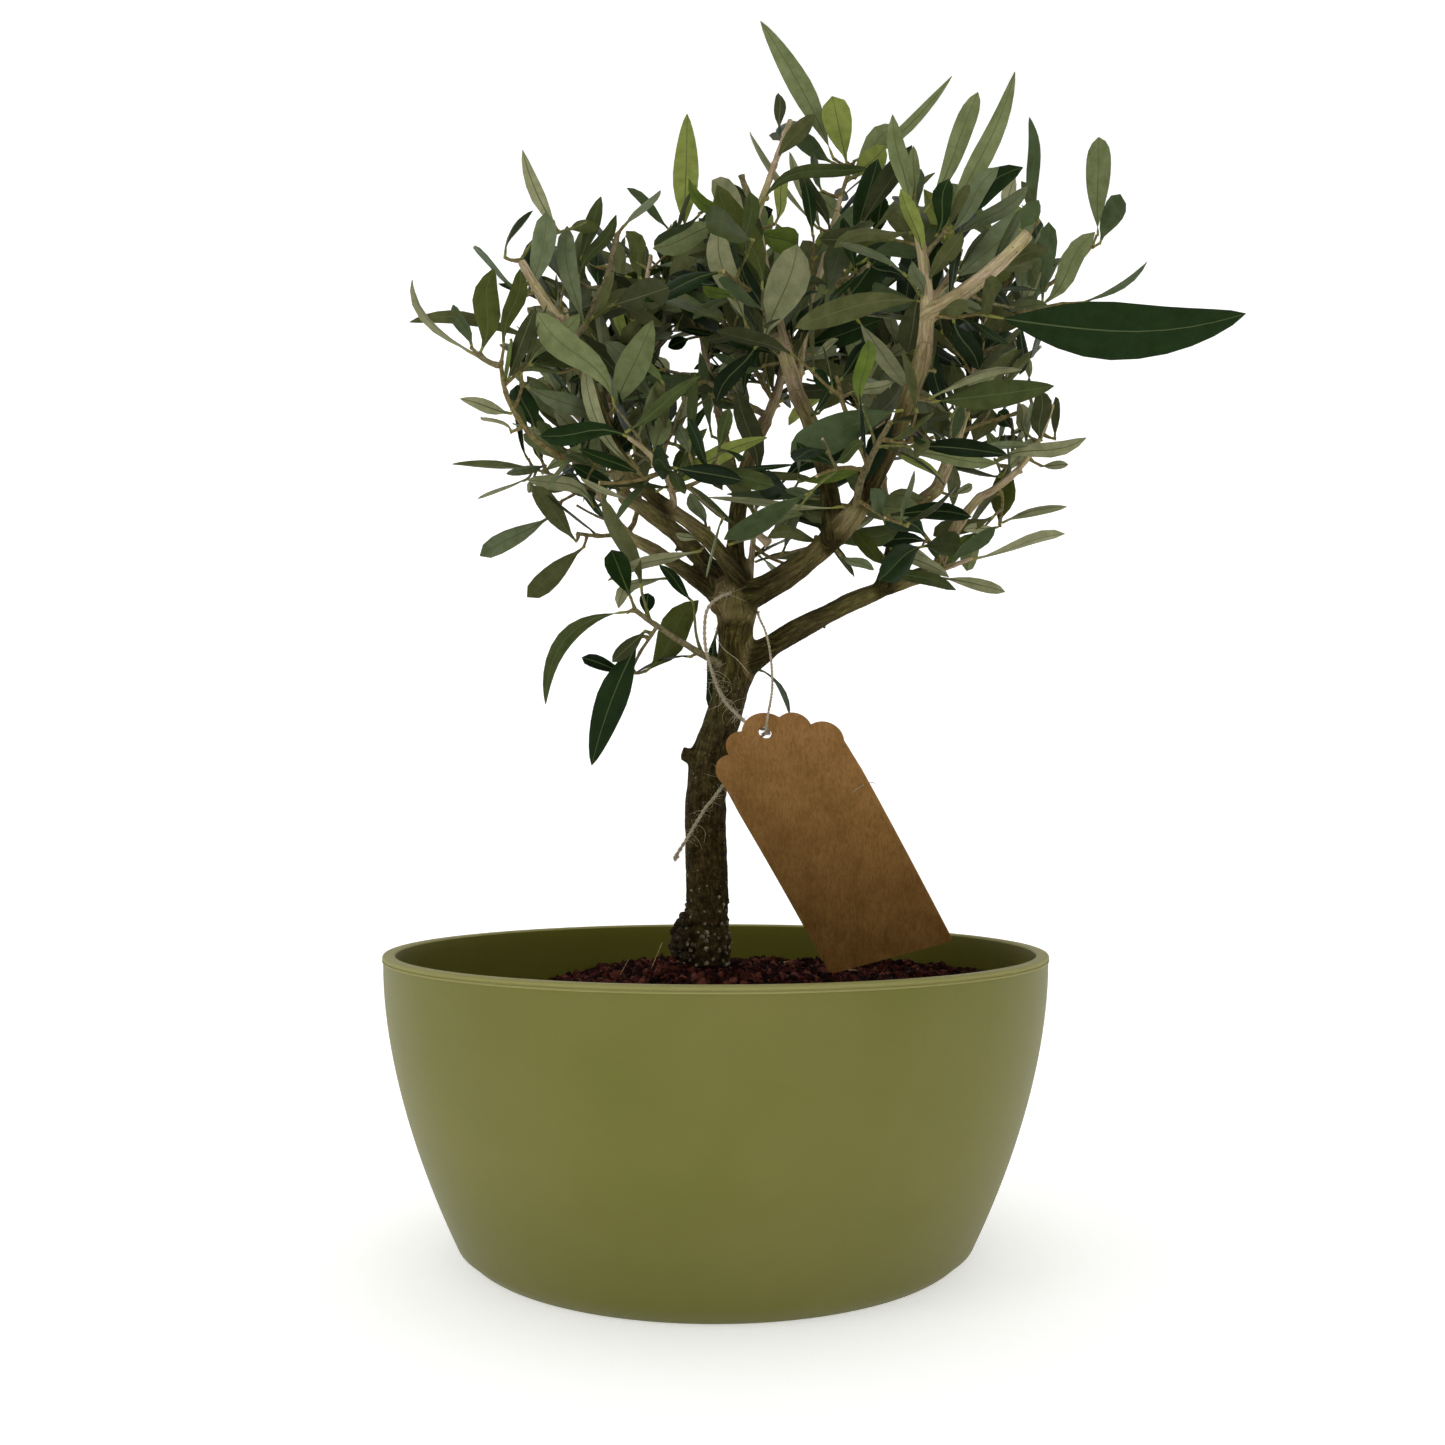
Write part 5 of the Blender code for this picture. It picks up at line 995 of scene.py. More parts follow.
class Growth:  # every twig and leaf of the crown, grown in one fixed order
    def __init__(self, paths, solids):
        self.paths, self.solids = paths, tree(join(solids))
        self.leaves, self.cells, self.shoots, self.open = [], {}, [], []
        for name in crownPlan["shown"]["boughs"]:
            self.keepOpen(*paths[name], 24)

    def keepOpen(self, path, radii, steps):
        for k in range(steps + 1):
            point, _ = along(path, k / (steps + 0.001))
            self.open.append((*seen(point), point.y, radii[0] + crownPlan["shown"]["beside"]))

    def hides(self, spine):  # whether a leaf lies in front of a bough that the front view shows
        for p in spine:
            x, z = seen(p)
            for bx, bz, y, reach in self.open:
                if p.y < y and abs(x - bx) < reach and abs(z - bz) < reach:
                    return True
        return False

    def isClear(self, shape):
        return not tree(shape).overlap(self.solids)

    def twigClear(self, path, share, radius):  # from a share of its first step on
        return self.isClear(tube([path[0].lerp(path[1], share)] + path[1:], [radius] * len(path), 3))

    def crowded(self, points):
        steps = (-1, 0, 1)
        for p in points:
            x, y, z = cellOf(p)
            for cell in ((x + dx, y + dy, z + dz) for dx in steps for dy in steps for dz in steps):
                if any((p - q).length < crownPlan["apart"] for q in self.cells.get(cell, ())):
                    return True
        return False

    def addLeaf(self, path, across, width, tone, rng, left, form=0):
        for p in path[6:]:
            self.cells.setdefault(cellOf(p), []).append(p)
        leaf = dict(
            path=path, across=across, width=width, tone=tone, left=left, twist=rng.uniform(-16, 16),
            peak=rng.uniform(0.44, 0.66), blunt=rng.uniform(1.7, 3.2), fold=rng.uniform(0.0, 0.28),
            wave=rng.uniform(-0.05, 0.05),
        )
        if form:
            leaf["peak"], leaf["blunt"] = crownPlan["spoon" if form == 1 else "lance"]
            leaf["wave"] *= 0.3
        self.leaves.append(leaf)

    def tryLeaf(self, root, azimuth, rise, length, width, arch, across, tone, rng, left):
        skip = min(5.0, length * 0.16)
        inner = root + heading(azimuth, rise + arch / 2) * skip
        if not self.isClear(roughLeaf(inner, azimuth, rise, length - skip, width, arch, across)):
            return False
        sway = rng.uniform(-12, 12)
        path = arc(root, azimuth + sway / 2, rise + arch / 2, length, -sway, -arch, 24)
        spine = path[9::3]
        if self.crowded(spine) or self.hides(spine) and rng.random() > crownPlan["shown"]["kept"]:
            return False
        self.addLeaf(path, across, width, tone, rng, left)
        return True

    def nearestTwig(self, groups, root):
        best, gap = None, 1e9
        for path, radii in [own for group in groups for own in group] + list(self.paths.values()):
            for a, b in zip(path, path[1:]):
                u = min(1, max(0, (root - a).dot(b - a) / (b - a).length_squared))
                point = a.lerp(b, u)
                if (root - point).length - radii[0] < gap:
                    best, gap = point, (root - point).length - radii[0]
        return best, gap

    def growLeads(self, groups, rng):
        eye = Vector(crownPlan["eye"])
        for row in leadLeaves:
            root, tip = Vector(row[0:3]), Vector(row[3:6])
            bow, width, roll, tone = row[6:10]
            middle, chord = (root + tip) / 2, tip - root
            side = chord.cross(eye - middle).normalized()
            control = middle + side * bow * 2
            shares = [k / crownPlan["leadSteps"] for k in range(crownPlan["leadSteps"] + 1)]
            path = [root * (1 - t) ** 2 + control * 2 * t * (1 - t) + tip * t * t for t in shares]
            across = side if tone % 100 >= 10 else -side
            across = Matrix.Rotation(rad(roll), 3, chord.normalized()) @ across
            point, gap = self.nearestTwig(groups, root)
            if gap > 0.4:
                bend = point.lerp(root, 0.5) - chord.normalized() * gap * 0.15
                shoot = smoothPath([point, bend, root + chord.normalized() * 0.6], 4)
                self.shoots.append((shoot, taper(0.85 if gap > 5 else 0.7, 0.5, len(shoot))))
            self.addLeaf(path, across, width, tone % 10, rng, root.x < crownPlan["leadSplit"], tone // 100)
            for p in path[6:22:4]:
                self.open.append((*seen(p), p.y, width / 2))

    def growMass(self, name, plan):
        start = plan["start"] if "start" in plan else tipOf(self.paths[plan["on"]][0], 1.0)
        azimuth, rise, length, turn, lift, r0, r1 = plan["stem"]
        steps = max(4, round(length / 6))
        stem = arc(start, azimuth, rise, length, turn, lift, steps)
        own = [(stem, taper(r0, r1, steps + 1))]
        for index, (t, azimuth, rise, length, turn, lift, r) in enumerate(plan["twigs"]):
            if (name, index) in crownPlan["leftOut"]:
                continue
            root, _ = along(stem, max(t, 3.5 / plan["stem"][2]))
            steps = max(3, round(length / 6))
            for nudge in (0, 8, -8, 16, -16):
                path = arc(root, azimuth + nudge, rise, length, turn, lift, steps)
                if self.twigClear(path, 0.7, r):
                    break
            own.append((path, taper(r, r * 0.72, steps + 1)))
        return own

    def growShoots(self, own, rng, left):
        plan = crownPlan
        step, share = plan["shootStepLeft" if left else "shootStep"], plan["shootShare"][left]
        radius = plan["shootRadius"]
        for which, (path, _) in enumerate(list(own)):
            count = int(reachOf(path) / step)
            for k in range(count):
                root, ahead = along(path, (k + 0.8) / (count + 0.4))
                sideways = sideOf(ahead, rad(90 * k + rng.uniform(-30, 30) + 55 * which))
                for sign in (1, -1):
                    long, spread, bend = rng.uniform(*plan["shootLong"]), rng.uniform(38, 60), rng.uniform(-20, 25)
                    if rng.random() > share:
                        continue
                    way = splayed(ahead, sideways * sign, spread)
                    steps = max(3, round(long / 5))
                    shoot = arc(root, *anglesOf(way), long, bend * 0.5, bend, steps)
                    if not withinCrown(shoot[-1]) or not withinCrown(shoot[-1] + way * 10):
                        continue
                    if self.twigClear(shoot, 0.8, radius):
                        own.append((shoot, taper(radius * 1.15, radius * 0.8, steps + 1)))

    def fill(self, own, rng, left, mains):
        plan = crownPlan
        leafy = set()
        for which, (path, _) in enumerate(own):
            tones = rng.choice(plan["tones"])
            first = firstLeaf(which)
            count = max(1, int(reachOf(path) * (1 - first) / plan["pairStep"]))
            for k in range(count + 1):
                t = first + (plan["lastLeaf"] - first) * k / count
                root, ahead = along(path, t)
                sideways = sideOf(ahead, rad(90 * k + rng.uniform(-25, 25) + 40 * which))
                for sign in (1, -1):
                    long = rng.uniform(*plan["leafLong"]) * (0.82 + 0.2 * t)
                    slim = rng.uniform(*plan["leafSlim"])
                    spread = rng.uniform(32, 62) - 14 * t
                    twist, arch = rng.uniform(-30, 30), rng.uniform(-10, 34)
                    # a share of the leaves take the dark tone, painted shade for the crown's inside
                    tone = rng.choice(tones) if rng.random() > plan["shadeShare"] else plan["shadeTone"]
                    if rng.random() > plan["fullLeft" if left else "full"]:
                        continue
                    way = splayed(ahead, sideways * sign, spread)
                    across = way.cross(ahead).normalized()
                    across.rotate(Matrix.Rotation(rad(twist), 3, way))
                    azimuth, rise = anglesOf(way)
                    for size in (1.0, 0.82, 0.66):
                        span, wide = long * size, long * slim * size
                        if all(withinCrown(root + way * span * part) for part in (0.35, 0.55, 0.75, 1.0)):
                            if self.tryLeaf(root, azimuth, rise, span, wide, arch, across, tone, rng, left):
                                leafy.add(which)
                                break
        own[:] = [item for which, item in enumerate(own) if which < mains or which in leafy]  # no bare shoots

    def grow(self):
        groups = []
        for name, plan in masses.items():
            groups.append(self.growMass(name, plan))
            for path, radii in groups[-1][:2] if name in crownPlan["shown"]["stems"] else ():
                self.keepOpen(path, radii, 19)
        self.growLeads(groups, random.Random(crownPlan["leadSeed"]))
        mains = [len(own) for own in groups]
        seeds = [plan["seed"] for plan in masses.values()]
        for index, (name, own) in enumerate(zip(masses, groups)):
            self.growShoots(own, random.Random(seeds[index] * 17 + len(name)), index < crownPlan["leftMasses"])
        for index, own in enumerate(groups):
            self.fill(own, random.Random(seeds[index]), index < crownPlan["leftMasses"], mains[index])
        self.twigs = groups + [self.shoots]


# leaves: a lance or spoon outline with a creased midrib, dark above and grey below

leafPlan = dict(
    stations=(0.0, 0.07, 0.15, 0.28, 0.44, 0.6, 0.76, 0.9, 1.0),
    fineStations=(0.0, 0.05, 0.09, 0.15, 0.22, 0.31, 0.41, 0.51, 0.61, 0.71, 0.8, 0.88, 0.95, 1.0),
    petiole=0.08, stalk=0.5, rib=0.24, thick=0.3, ridge=0.22, crown=0.09,
    # the last tone above and below is painted shade: a leaf darkened as if it lay deep in the crown
    tops=[
        (0.010, 0.024, 0.0045), (0.048, 0.062, 0.017), (0.058, 0.068, 0.013), (0.105, 0.150, 0.022),
        (0.060, 0.084, 0.034), (0.007, 0.015, 0.004),
    ],
    unders=[
        (0.076, 0.082, 0.028), (0.146, 0.172, 0.072), (0.240, 0.246, 0.130), (0.205, 0.240, 0.054),
        (0.124, 0.148, 0.076), (0.042, 0.048, 0.018),
    ],
    ribAbove=(0.070, 0.092, 0.034), ribBelow=(0.094, 0.100, 0.042), stalkColour=(0.200, 0.200, 0.045),
    mottle=((0.74, 0.77, 0.68), (1.22, 1.20, 1.24)), longLeaf=40.0,
)


def leafMaterials(plan):
    made = []
    faces = [("leafTop", plan["tops"], 0.38, 0.07), ("leafUnder", plan["unders"], 0.66, 0.08)]
    for names, colours, rough, gloss in faces:
        for k, colour in enumerate(colours):
            mat = newMaterial(f"{names}{k}", colour, rough, Specular_IOR_Level=gloss)
            net = mat.node_tree
            place = objectSpace(net)
            grain = noiseFac(net, place, 700, 3, 0.6)
            stops = list(zip((0.32, 0.68), plan["mottle"]))
            blotch = rampOf(net, noiseFac(net, place, 170, 4, 0.65), stops)
            wire(mat, "Base Color", tinted(net, colour, blotch))
            setBump(mat, grain, 0.12, 0.5)
            wire(mat, "Roughness", mathOf(net, "MULTIPLY_ADD", grain, 0.25, rough - 0.1))
            made.append(mat)
    made.append(newMaterial("leafRibAbove", plan["ribAbove"], 0.5))
    made.append(newMaterial("leafRibBelow", plan["ribBelow"], 0.55))
    made.append(newMaterial("leafStalk", plan["stalkColour"], 0.5))
    return made


def leafWidth(t, plan, leaf):
    if t <= plan["petiole"]:
        return plan["stalk"] * 1.1
    u = (t - plan["petiole"]) / (1 - plan["petiole"])
    peak = leaf["peak"]
    if u < peak:
        share = math.sin(math.pi / 2 * (u / peak) ** 0.9) ** 1.15
    else:
        share = max(0.0, 1 - ((u - peak) / (1 - peak)) ** leaf["blunt"]) ** 0.72
    return max(leaf["width"] / 2 * share, 0.16)


def leafShape(plan, leaf):
    path, across = leaf["path"], leaf["across"]
    length = reachOf(path)
    stations = plan["fineStations"] if length > plan["longLeaf"] else plan["stations"]
    top, under = leaf["tone"], len(plan["tops"]) + leaf["tone"]
    ribAbove, ribBelow, stalk = (2 * len(plan["tops"]) + k for k in range(3))
    strips = [top, top, ribAbove, top, top, under, ribBelow, under]
    verts = []
    for t in stations:
        point, tangent = along(path, min(t, 0.9999))
        side = (across - tangent * across.dot(tangent)).normalized()
        side.rotate(Matrix.Rotation(rad(leaf["twist"] * t), 3, tangent))
        up = side.cross(tangent)
        half = leafWidth(t, plan, leaf)
        point = point + side * leaf["wave"] * length * math.sin(2 * math.pi * t)
        if t > plan["petiole"]:
            rib = min(plan["rib"] * (1.25 - 0.8 * t), half * 0.5)
            low, ridge = plan["thick"], plan["ridge"] * (1 - t)
            edge, mid = (leaf["fold"] - 0.10) * half, (leaf["fold"] * 0.55 + plan["crown"]) * half
            crest = 0.0
        else:
            rib, low, ridge = half * 0.5, plan["stalk"] * 0.5, plan["stalk"] * 0.5
            edge, mid, crest = 0.0, plan["stalk"] * 0.8, plan["stalk"]
        ring = [(-half, edge), (-half * 0.55, mid), (-rib, crest), (rib, crest), (half * 0.55, mid), (half, edge)]
        ring += [(rib, -low - ridge), (-rib, -low - ridge)]
        verts += [point + side * x + up * z for x, z in ring]
    slots = [stalk if end <= 0.091 else strip for end in stations[1:] for strip in strips]
    return verts, capped(len(stations), 8), slots + [stalk, under]


def buildLeaves(growth):
    paints = leafMaterials(leafPlan)
    names, half = list(masses), crownPlan["leftMasses"]
    for name, left, nodes in (("leavesLeft", True, names[:half]), ("leavesRight", False, names[half:])):
        shapes = [leafShape(leafPlan, leaf) for leaf in growth.leaves if leaf["left"] == left]
        handOver(newPiece(name, join(shapes), paints, sharp=38), "leaf", *nodes)
    print(len(growth.leaves), "leaves")


# twigs: thin young shoots with a swelling at each pair of leaves

twigPlan = dict(
    paints=[  # name, colour, dark
        ("twigTan", (0.210, 0.170, 0.070), (0.090, 0.066, 0.023)),
        ("twigGrey", (0.200, 0.172, 0.088), (0.090, 0.073, 0.034)),
        ("twigGreen", (0.155, 0.165, 0.055), (0.085, 0.082, 0.028)),
        ("twigEnd", (0.420, 0.340, 0.200), (0.260, 0.190, 0.100)),
    ],
    step=1.9, stout=1.3, green=0.7, swell=0.32, wander=0.9, seed=12,
)


def buildTwigs(growth, plan):
    paints = [
        grainy(name, colour, 0.72, (650, 4, 0.7), [(0.36, dark), (0.6, colour)], (0.25, 0.8))
        for name, colour, dark in plan["paints"]
    ]
    shapes = []
    rng = random.Random(plan["seed"])
    for own in growth.twigs:
        for which, (path, radii) in enumerate(own):
            length, thick = reachOf(path), radii[0]
            count = max(3, round(length / plan["step"]))
            first = firstLeaf(which)
            pairs = max(1, int(length * (1 - first) / crownPlan["pairStep"]))
            points, sizes = [], []
            for k in range(count + 1):
                t = k / count
                point, _ = along(path, min(t, 0.9999))
                phase = (t - first) / (crownPlan["lastLeaf"] - first) * pairs
                off = (phase - round(phase)) * length / pairs / 0.9
                swell = plan["swell"] * math.exp(-off ** 2) if phase > -0.4 else 0
                sway = (noise.noise(point * 0.11), noise.noise(point * 0.11 + Vector((7, 0, 0))), 0)
                points.append(point + Vector(sway) * plan["wander"] * min(1, t * 5))
                foot = 1 + 0.35 * max(0, 1 - t * length / 3)
                sizes.append((thick + (radii[-1] - thick) * t) * (1 + swell) * foot)
            tone = 1 if thick > plan["stout"] else (
                2 if rng.random() < 0.35 and thick < plan["green"] else 0 if rng.random() < 0.6 else 1)
            seed = rng.uniform(0, 6)
            if thick < barkPlan["thickTwig"]:  # the stouter ones are part of the bark's skin
                shapes.append(tube(points, sizes, 9 if thick > plan["stout"] else 6, tone, 3, 0.05, seed))
    handOver(newPiece("twigs", join(shapes), paints, sharp=60), "bark")


# bark: trunk and boughs as one skin, with furrows, knots, lenticels and cut stubs

barkPlan = dict(
    slim={  # share of the limb's radius that shows, at its foot and its tip
        "boughFrontLeft": (0.78, 0.72), "boughFrontLeftMid": (0.76, 0.74), "boughFrontLeftRise": (0.76, 0.85),
        "boughRightRise": (0.80, 0.95), "boughRight": (0.92, 0.88),
    },
    footShare=0.72, voxel=0.78, soften=2, flare=0.28, furrow=0.34, lump=0.42, young=0.30, spurStep=15.0, seed=21,
    thickTwig=1.55, ageBlur=40, footTop=132.0,
    burl=dict(middle=(-12.8, -4.5, 114.0), spread=(3.8, 6.5, 7.0), count=52, size=(1.2, 2.2), out=4.4),
    stubs=[  # place, azimuth, rise, length, radius
        ((-7, -2, 182.6), 186, 14, 6.4, 2.9), ((6, -4.5, 243.5), -110, 24, 6.0, 3.4),
        ((20, -24, 262), 150, 40, 8, 1.6),
    ],
    lumps=[  # swellings under the fork: place, reach, half height
        ((8.4, -6.4, 237.4), 6.2, 4.6), ((2.0, -5.0, 241.0), 4.6, 3.6), ((13.0, -6.6, 243.0), 4.4, 4.0),
    ],
    pits=[((4.9, -10.6, 245.2), 2.0, 3.0), ((9.5, -8.2, 250.0), 1.6, 1.8)],  # place, radius, depth
)


def barkLines(growth):
    trunk = smoothPath([Vector((lean, 0, z)) for z, lean, _ in trunkPlan["rows"]], 3)
    lines = [dict(path=trunk, radii=[trunkCentre(p.z)[1] for p in trunk], age=(1.0, 0.62))]
    for name, (path, radii) in growth.paths.items():
        fine = smoothPath(path, 3)
        sizes = list(np.interp(np.linspace(0, 1, len(fine)), np.linspace(0, 1, len(radii)), radii))
        if limbs[name].get("start"):
            flareAt = radii[0] * 2.2
            run = [0.0]
            for a, b in zip(fine, fine[1:]):
                run.append(run[-1] + (b - a).length)
            sizes = [r * (1 + barkPlan["flare"] * math.exp(-(s / flareAt) ** 2)) for r, s in zip(sizes, run)]
        slimFoot, slimTip = barkPlan["slim"].get(name, (1, 1))
        sizes = [r * (slimFoot + (slimTip - slimFoot) * k / (len(sizes) - 1)) for k, r in enumerate(sizes)]
        lines.append(dict(path=fine, radii=sizes, age=(0.5, 0.28) if radii[0] > 3.2 else (0.32, 0.2), bough=True))
    for path, radii in [twig for own in growth.twigs for twig in own]:
        if radii[0] >= barkPlan["thickTwig"]:
            lines.append(dict(path=path, radii=list(radii), age=(0.22, 0.05), cutEnd=True))
    return lines


def barkBase(lines):
    plan = barkPlan
    rng = random.Random(plan["seed"])
    shapes = [trunkShape(plan["footShare"])]
    for line in lines[1:]:
        shapes.append(tube(line["path"], line["radii"], 18 if line.get("bough") else 12))
        length = reachOf(line["path"])
        for k in range(int(length / plan["spurStep"])):  # old leaf scars and side buds
            t = min(0.97, (k + rng.uniform(0.3, 0.9)) * plan["spurStep"] / length)
            if t * length < 10:
                continue
            point, ahead = along(line["path"], t)
            r = line["radii"][min(int(t * len(line["radii"])), len(line["radii"]) - 1)]
            out = sideOf(ahead, rng.uniform(0, 6.28))
            way = (out + ahead * rng.uniform(0.1, 0.8)).normalized()
            size = rng.uniform(0.75, 1.25)
            tip = point + way * (r + rng.uniform(0.3, 2.6))
            shapes.append(tube([point, tip.lerp(point, 0.15), tip], [size * 1.5, size * 1.15, size * 0.85], 7))
    for place, azimuth, rise, length, radius in plan["stubs"]:
        sizes = [radius * 1.35, radius * 1.1, radius, radius * 0.92]
        shapes.append(tube(arc(place, azimuth, rise, length, 0, 0, 3), sizes, 14))
    for place, reach, half in plan["lumps"]:
        rise = [Vector(place) + Vector((0, 0, half * v)) for v in (-1, -0.8, -0.4, 0, 0.4, 0.8, 1)]
        shapes.append(tube(rise, [reach * v for v in (0.2, 0.6, 0.92, 1, 0.92, 0.6, 0.2)], 16))
    burl = plan["burl"]
    for k in range(burl["count"]):
        at = Vector(burl["middle"]) + Vector([rng.uniform(-1, 1) * s for s in burl["spread"]])
        lean, radius = trunkCentre(max(at.z, 104))
        radius *= footSlim(at.z, plan["footShare"])
        out = Vector((at.x - lean, at.y, 0))
        limit = radius + burl["out"] * math.exp(-((at.z - burl["middle"][2]) / 7.5) ** 2)
        at = Vector((lean, 0, max(at.z, 104.2))) + out.normalized() * min(max(out.length, radius), limit)
        size = rng.uniform(*burl["size"])
        rise = [at + out.normalized() * s * size for s in (-1, -0.6, 0, 0.6, 0.95)]
        shapes.append(tube(rise, [size * v for v in (0.3, 0.8, 1, 0.8, 0.3)], 8))
    return join(shapes)


def nearestLine(points, lines):
    count = len(points)
    best = np.full(count, 1e9)
    alongMm, aroundMm, age, which, cut = (np.zeros(count) for _ in range(5))
    for index, line in enumerate(lines):
        run, length = 0.0, reachOf(line["path"])
        side = (line["path"][1] - line["path"][0]).normalized().orthogonal().normalized()
        for i, (a, b) in enumerate(zip(line["path"], line["path"][1:])):
            step = (b - a).length
            tangent = (b - a).normalized()
            side = (side - tangent * side.dot(tangent)).normalized()
            up = tangent.cross(side)
            middle, limit = (a + b) / 2, step / 2 + line["radii"][i] * 1.6 + 5
            near = np.nonzero(((points - np.array(middle)) ** 2).sum(1) < limit ** 2)[0]
            if len(near):
                offset = points[near] - np.array(a)
                reach = offset @ np.array(tangent)
                t = np.clip(reach, 0, step)
                radial = offset - t[:, None] * np.array(tangent)
                r = line["radii"][i] + (line["radii"][i + 1] - line["radii"][i]) * t / step
                gap = np.linalg.norm(radial, axis=1) - r
                better = gap < best[near]
                hit = near[better]
                best[hit] = gap[better]
                alongMm[hit] = run + t[better]
                turn = np.arctan2(radial[better] @ np.array(up), radial[better] @ np.array(side))
                aroundMm[hit] = turn * r[better]
                share = (run + t[better]) / length
                age[hit] = line["age"][0] + (line["age"][1] - line["age"][0]) * share
                which[hit] = index
                last = i == len(line["path"]) - 2 and line.get("cutEnd")
                cut[hit] = (reach[better] > step - 0.25) if last else 0
            run += step
    return alongMm, aroundMm, age, which, cut


def barkFinish():
    mat = newMaterial("bark", (0.10, 0.08, 0.05), 0.85)
    net = mat.node_tree
    grain, age = attributeOf(net, "grain", "Vector"), attributeOf(net, "age")
    place = objectSpace(net)
    fibre = noiseFac(net, stretched(net, grain, (0.75, 0.09, 1)), 1.0, 5, 0.65, 0.4)
    fine = noiseFac(net, stretched(net, grain, (2.6, 0.34, 1)), 1.0, 4, 0.7)
    cloud = noiseFac(net, place, 70, 4, 0.6)
    grit = noiseFac(net, place, 430, 6, 0.72)
    patchy = mixOf(net, rampOf(net, age, [(0.60, 0.22), (0.86, 0.66)]), fibre, grit)
    old = rampOf(net, patchy, [
        (0.36, (0.010, 0.007, 0.003)), (0.47, (0.034, 0.026, 0.011)), (0.57, (0.078, 0.066, 0.031)),
        (0.70, (0.175, 0.152, 0.092)),
    ])
    young = rampOf(net, fibre, [
        (0.28, (0.120, 0.092, 0.040)), (0.44, (0.260, 0.220, 0.118)), (0.62, (0.400, 0.350, 0.215)),
        (0.78, (0.500, 0.450, 0.300)),
    ])
    moss = rampOf(net, cloud, [(0.42, (0.92, 0.90, 0.84)), (0.62, (0.98, 1.06, 0.78))])
    blend = rampOf(net, age, [(0.20, 0), (0.46, 1), (0.53, 1), (0.60, 0.72), (0.652, 0.72), (0.668, 1)])
    colour = tinted(net, mixOf(net, blend, young, old), moss)
    streak = rampOf(net, fine, [(0.34, (0.55, 0.52, 0.48)), (0.56, (1.06, 1.05, 1.02))])
    colour = tinted(net, colour, streak, rampOf(net, age, [(0.12, 0.3), (0.4, 0.8)]))
    sockets = {"Vector": stretched(net, grain, (0.5, 0.36, 1)), "Scale": 1.0, "Randomness": 1.0}
    dots = addNode(net, "ShaderNodeTexVoronoi", sockets).outputs["Distance"]
    patch = rampOf(net, noiseFac(net, place, 120, 2), [(0.5, 0), (0.6, 1)])
    lenticel = tinted(net, rampOf(net, dots, [(0.10, 1), (0.17, 0)]), patch)
    paleness = rampOf(net, age, [(0.3, (0.06, 0.04, 0.02)), (0.85, (0.36, 0.33, 0.25))])
    colour = mixOf(net, mathOf(net, "MULTIPLY", lenticel, 0.75), colour, paleness)
    shade = rampOf(net, age, [  # half of what the colour is multiplied by, from young wood to the foot's knobs
        (0.08, (0.70, 0.65, 0.80)), (0.22, (0.56, 0.51, 0.58)), (0.36, (0.40, 0.38, 0.31)),
        (0.50, (0.34, 0.33, 0.25)), (0.57, (0.52, 0.48, 0.43)), (0.652, (0.56, 0.51, 0.46)),
        (0.668, (0.50, 0.46, 0.35)), (0.690, (0.48, 0.45, 0.33)), (0.74, (0.52, 0.52, 0.44)),
        (0.86, (0.37, 0.315, 0.24)), (0.98, (0.38, 0.33, 0.26)), (1.0, (0.23, 0.19, 0.15)),
    ])
    colour = scaledBy(net, tinted(net, colour, shade), 2.0)
    wood = rampOf(net, noiseFac(net, place, 900, 3), [(0.35, (0.30, 0.21, 0.11)), (0.65, (0.50, 0.39, 0.23))])
    wire(mat, "Base Color", mixOf(net, attributeOf(net, "cut"), colour, wood))
    setBump(mat, sumOf(net, (fibre, 0.8), (grit, 0.8), (fine, 0.4), (lenticel, 0.35)), 0.55, 0.9)
    return mat


